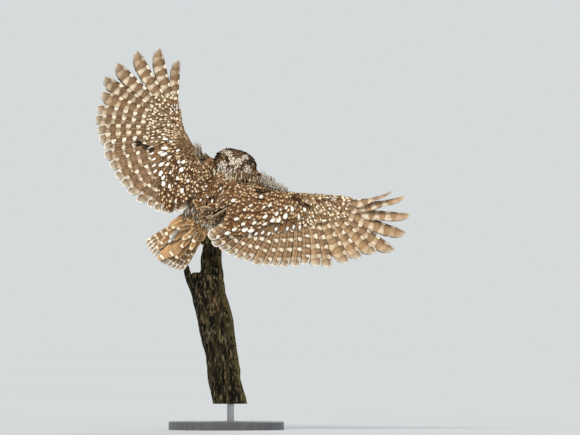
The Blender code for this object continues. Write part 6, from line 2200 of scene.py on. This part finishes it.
def make_stick():
    shapes, worn, lichen = [], [], []
    for stations, seed, sides, rows, grown in (
            (TRUNK, TRUNK_BARK, 120, 210, 1), (PRONG, PRONG_BARK, 60, 70, 1), (CROTCH, CROTCH_BARK, 48, 36, 0)):
        shape, worn_here, lichen_here = stick_surface(stations, seed, sides, rows)
        shapes.append(shape)
        worn.append(worn_here)
        lichen.append(lichen_here * grown)
    values = {"worn": np.concatenate(worn), "lichen": np.concatenate(lichen)}
    place_piece(write_shape("stick", join_shapes(shapes), BARK, values), "bark", "perch")


def make_moss():
    """A mossy lump on the broken top, as many small leaves over a cushion."""
    coat = Coat()
    lumps = ((photo_point(208, 238.5, -6), 6.2), (photo_point(203.5, 241.5, -3), 3.6),
             (photo_point(210, 243, -6), 3.8))
    shapes = []
    for centre, radius in lumps:
        shape = ball_shape(centre, radius * 0.8, 20, 12)
        shapes.append(shape)
        count = int(26 * radius)
        normals = unit(DRAW.normal(0, 1, (count, 3)))
        headings = unit(np.array([0, 0, -0.4]) + DRAW.normal(0, 0.8, (count, 3)))
        ground = mixed(DRAW.random(count), shade(84, 86, 20), shade(150, 144, 52))
        feathers(coat, "pointed", centre + normals * radius * 0.72, headings, normals,
                 DRAW.uniform(2.2, 3.8, count), np.full(count, 1.3),
                 paint_of(ground, ground.mean(axis=0), trim=(0, 0, 0)), rise=0.45, curl=0.1)
    place_piece(write_shape("moss_cushion", join_shapes(shapes), MOSS), "bark")
    coat.make("moss_leaves", COAT, "bark")


# Floor, lights and camera

def make_stage():
    """A plain round floor; the pale world beyond it is the backdrop, so that no side's view is blocked."""
    ring = 96
    points = [(0, 0, 0)]
    for radius in (600, 1500, 4000, 12000):
        for step in range(ring):
            angle = 2 * math.pi * step / ring
            points.append((radius * math.cos(angle), radius * math.sin(angle), 0))
    step = np.arange(ring)
    after = (step + 1) % ring
    inner = np.stack([np.zeros(ring, int), 1 + step, 1 + after], axis=1)
    outer = [np.stack([1 + row * ring + step, 1 + (row + 1) * ring + step, 1 + (row + 1) * ring + after,
                       1 + row * ring + after], axis=1) for row in range(3)]
    graph = Graph("paper")
    tone = graph.ramp(graph.noise(2.0, 2.0), 0.3, 0.7)
    paper = graph.finish(graph.mix(tone, shade(*PAPER), shade(*(PAPER + 3))), 0.9)
    floor = write_mesh("floor", points, [inner, np.concatenate(outer)], paper)


def make_lights():
    """Soft sunlight from high on the left, weaker light from the right and from behind, and a pale sky."""
    for name, strength, soft, height, turn, colour in (
            ("key", 2.1, 24, 46, -28, (1.0, 0.93, 0.82)), ("fill", 0.35, 60, 20, 50, (1.0, 0.97, 0.92)),
            ("rim", 1.1, 30, 38, 165, (1.0, 0.98, 0.95))):
        light = bpy.data.lights.new(name, "SUN")
        light.energy = strength
        light.angle = math.radians(soft)
        light.color = colour
        made = bpy.data.objects.new(name, light)
        made.rotation_euler = (math.radians(90 - height), 0, math.radians(turn))
        bpy.context.scene.collection.objects.link(made)
    world = bpy.data.worlds.new("studio")
    world.use_nodes = True
    background = world.node_tree.nodes["Background"]
    background.inputs["Color"].default_value = (*BACKDROP, 1)
    background.inputs["Strength"].default_value = 1.0
    bpy.context.scene.world = world
    bpy.context.scene.view_settings.view_transform = "Standard"


def make_camera():
    """A long lens, level with the middle of the photograph."""
    camera = bpy.data.cameras.new("camera")
    camera.sensor_width = SENSOR
    camera.lens = SENSOR * CAMERA_AWAY / PICTURE_BREADTH
    camera.clip_end = 60
    made = bpy.data.objects.new("camera", camera)
    made.location = (CAMERA_ACROSS, -CAMERA_AWAY, CAMERA_UP)
    made.rotation_euler = (math.pi / 2, 0, 0)
    bpy.context.scene.collection.objects.link(made)
    bpy.context.scene.camera = made


SKIN, COAT, QUILLS = skin_material(), coat_material(), quill_material()
EYE, LIDS = eye_material(), lid_material()
BILL = horn_material("bill", shade(150, 142, 84), shade(196, 186, 120), 0.35)
CLAWS = horn_material("claw", shade(26, 22, 19), shade(52, 45, 38), 0.3)
TOES, BARK, MOSS = toe_material(), bark_material(), moss_material()

make_camera()
skin, skin_tree = make_skin()
place_piece(skin, "plumage", "torso", "neck", "head", "tail", "wing_left", "wing_right", "thigh_left",
            "thigh_right", "tarsus_left", "tarsus_right")
make_head_coat(skin_tree)
make_body_coat(skin_tree)
for wing_name in WINGS:
    make_wing_coat(wing_name, skin_tree)
    make_coverts(wing_name, skin_tree)
    make_quills(wing_name)
make_tail()
make_leg_coat(skin_tree)
make_down(skin_tree)
make_feet()
make_eyes()
make_bill()
make_stick()
make_moss()
for node_name, material in (("stand_base", stand_material()), ("stand_rod", rod_material())):
    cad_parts[node_name].data.materials.clear()
    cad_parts[node_name].data.materials.append(material)
make_stage()
make_lights()

bpy.context.view_layer.update()
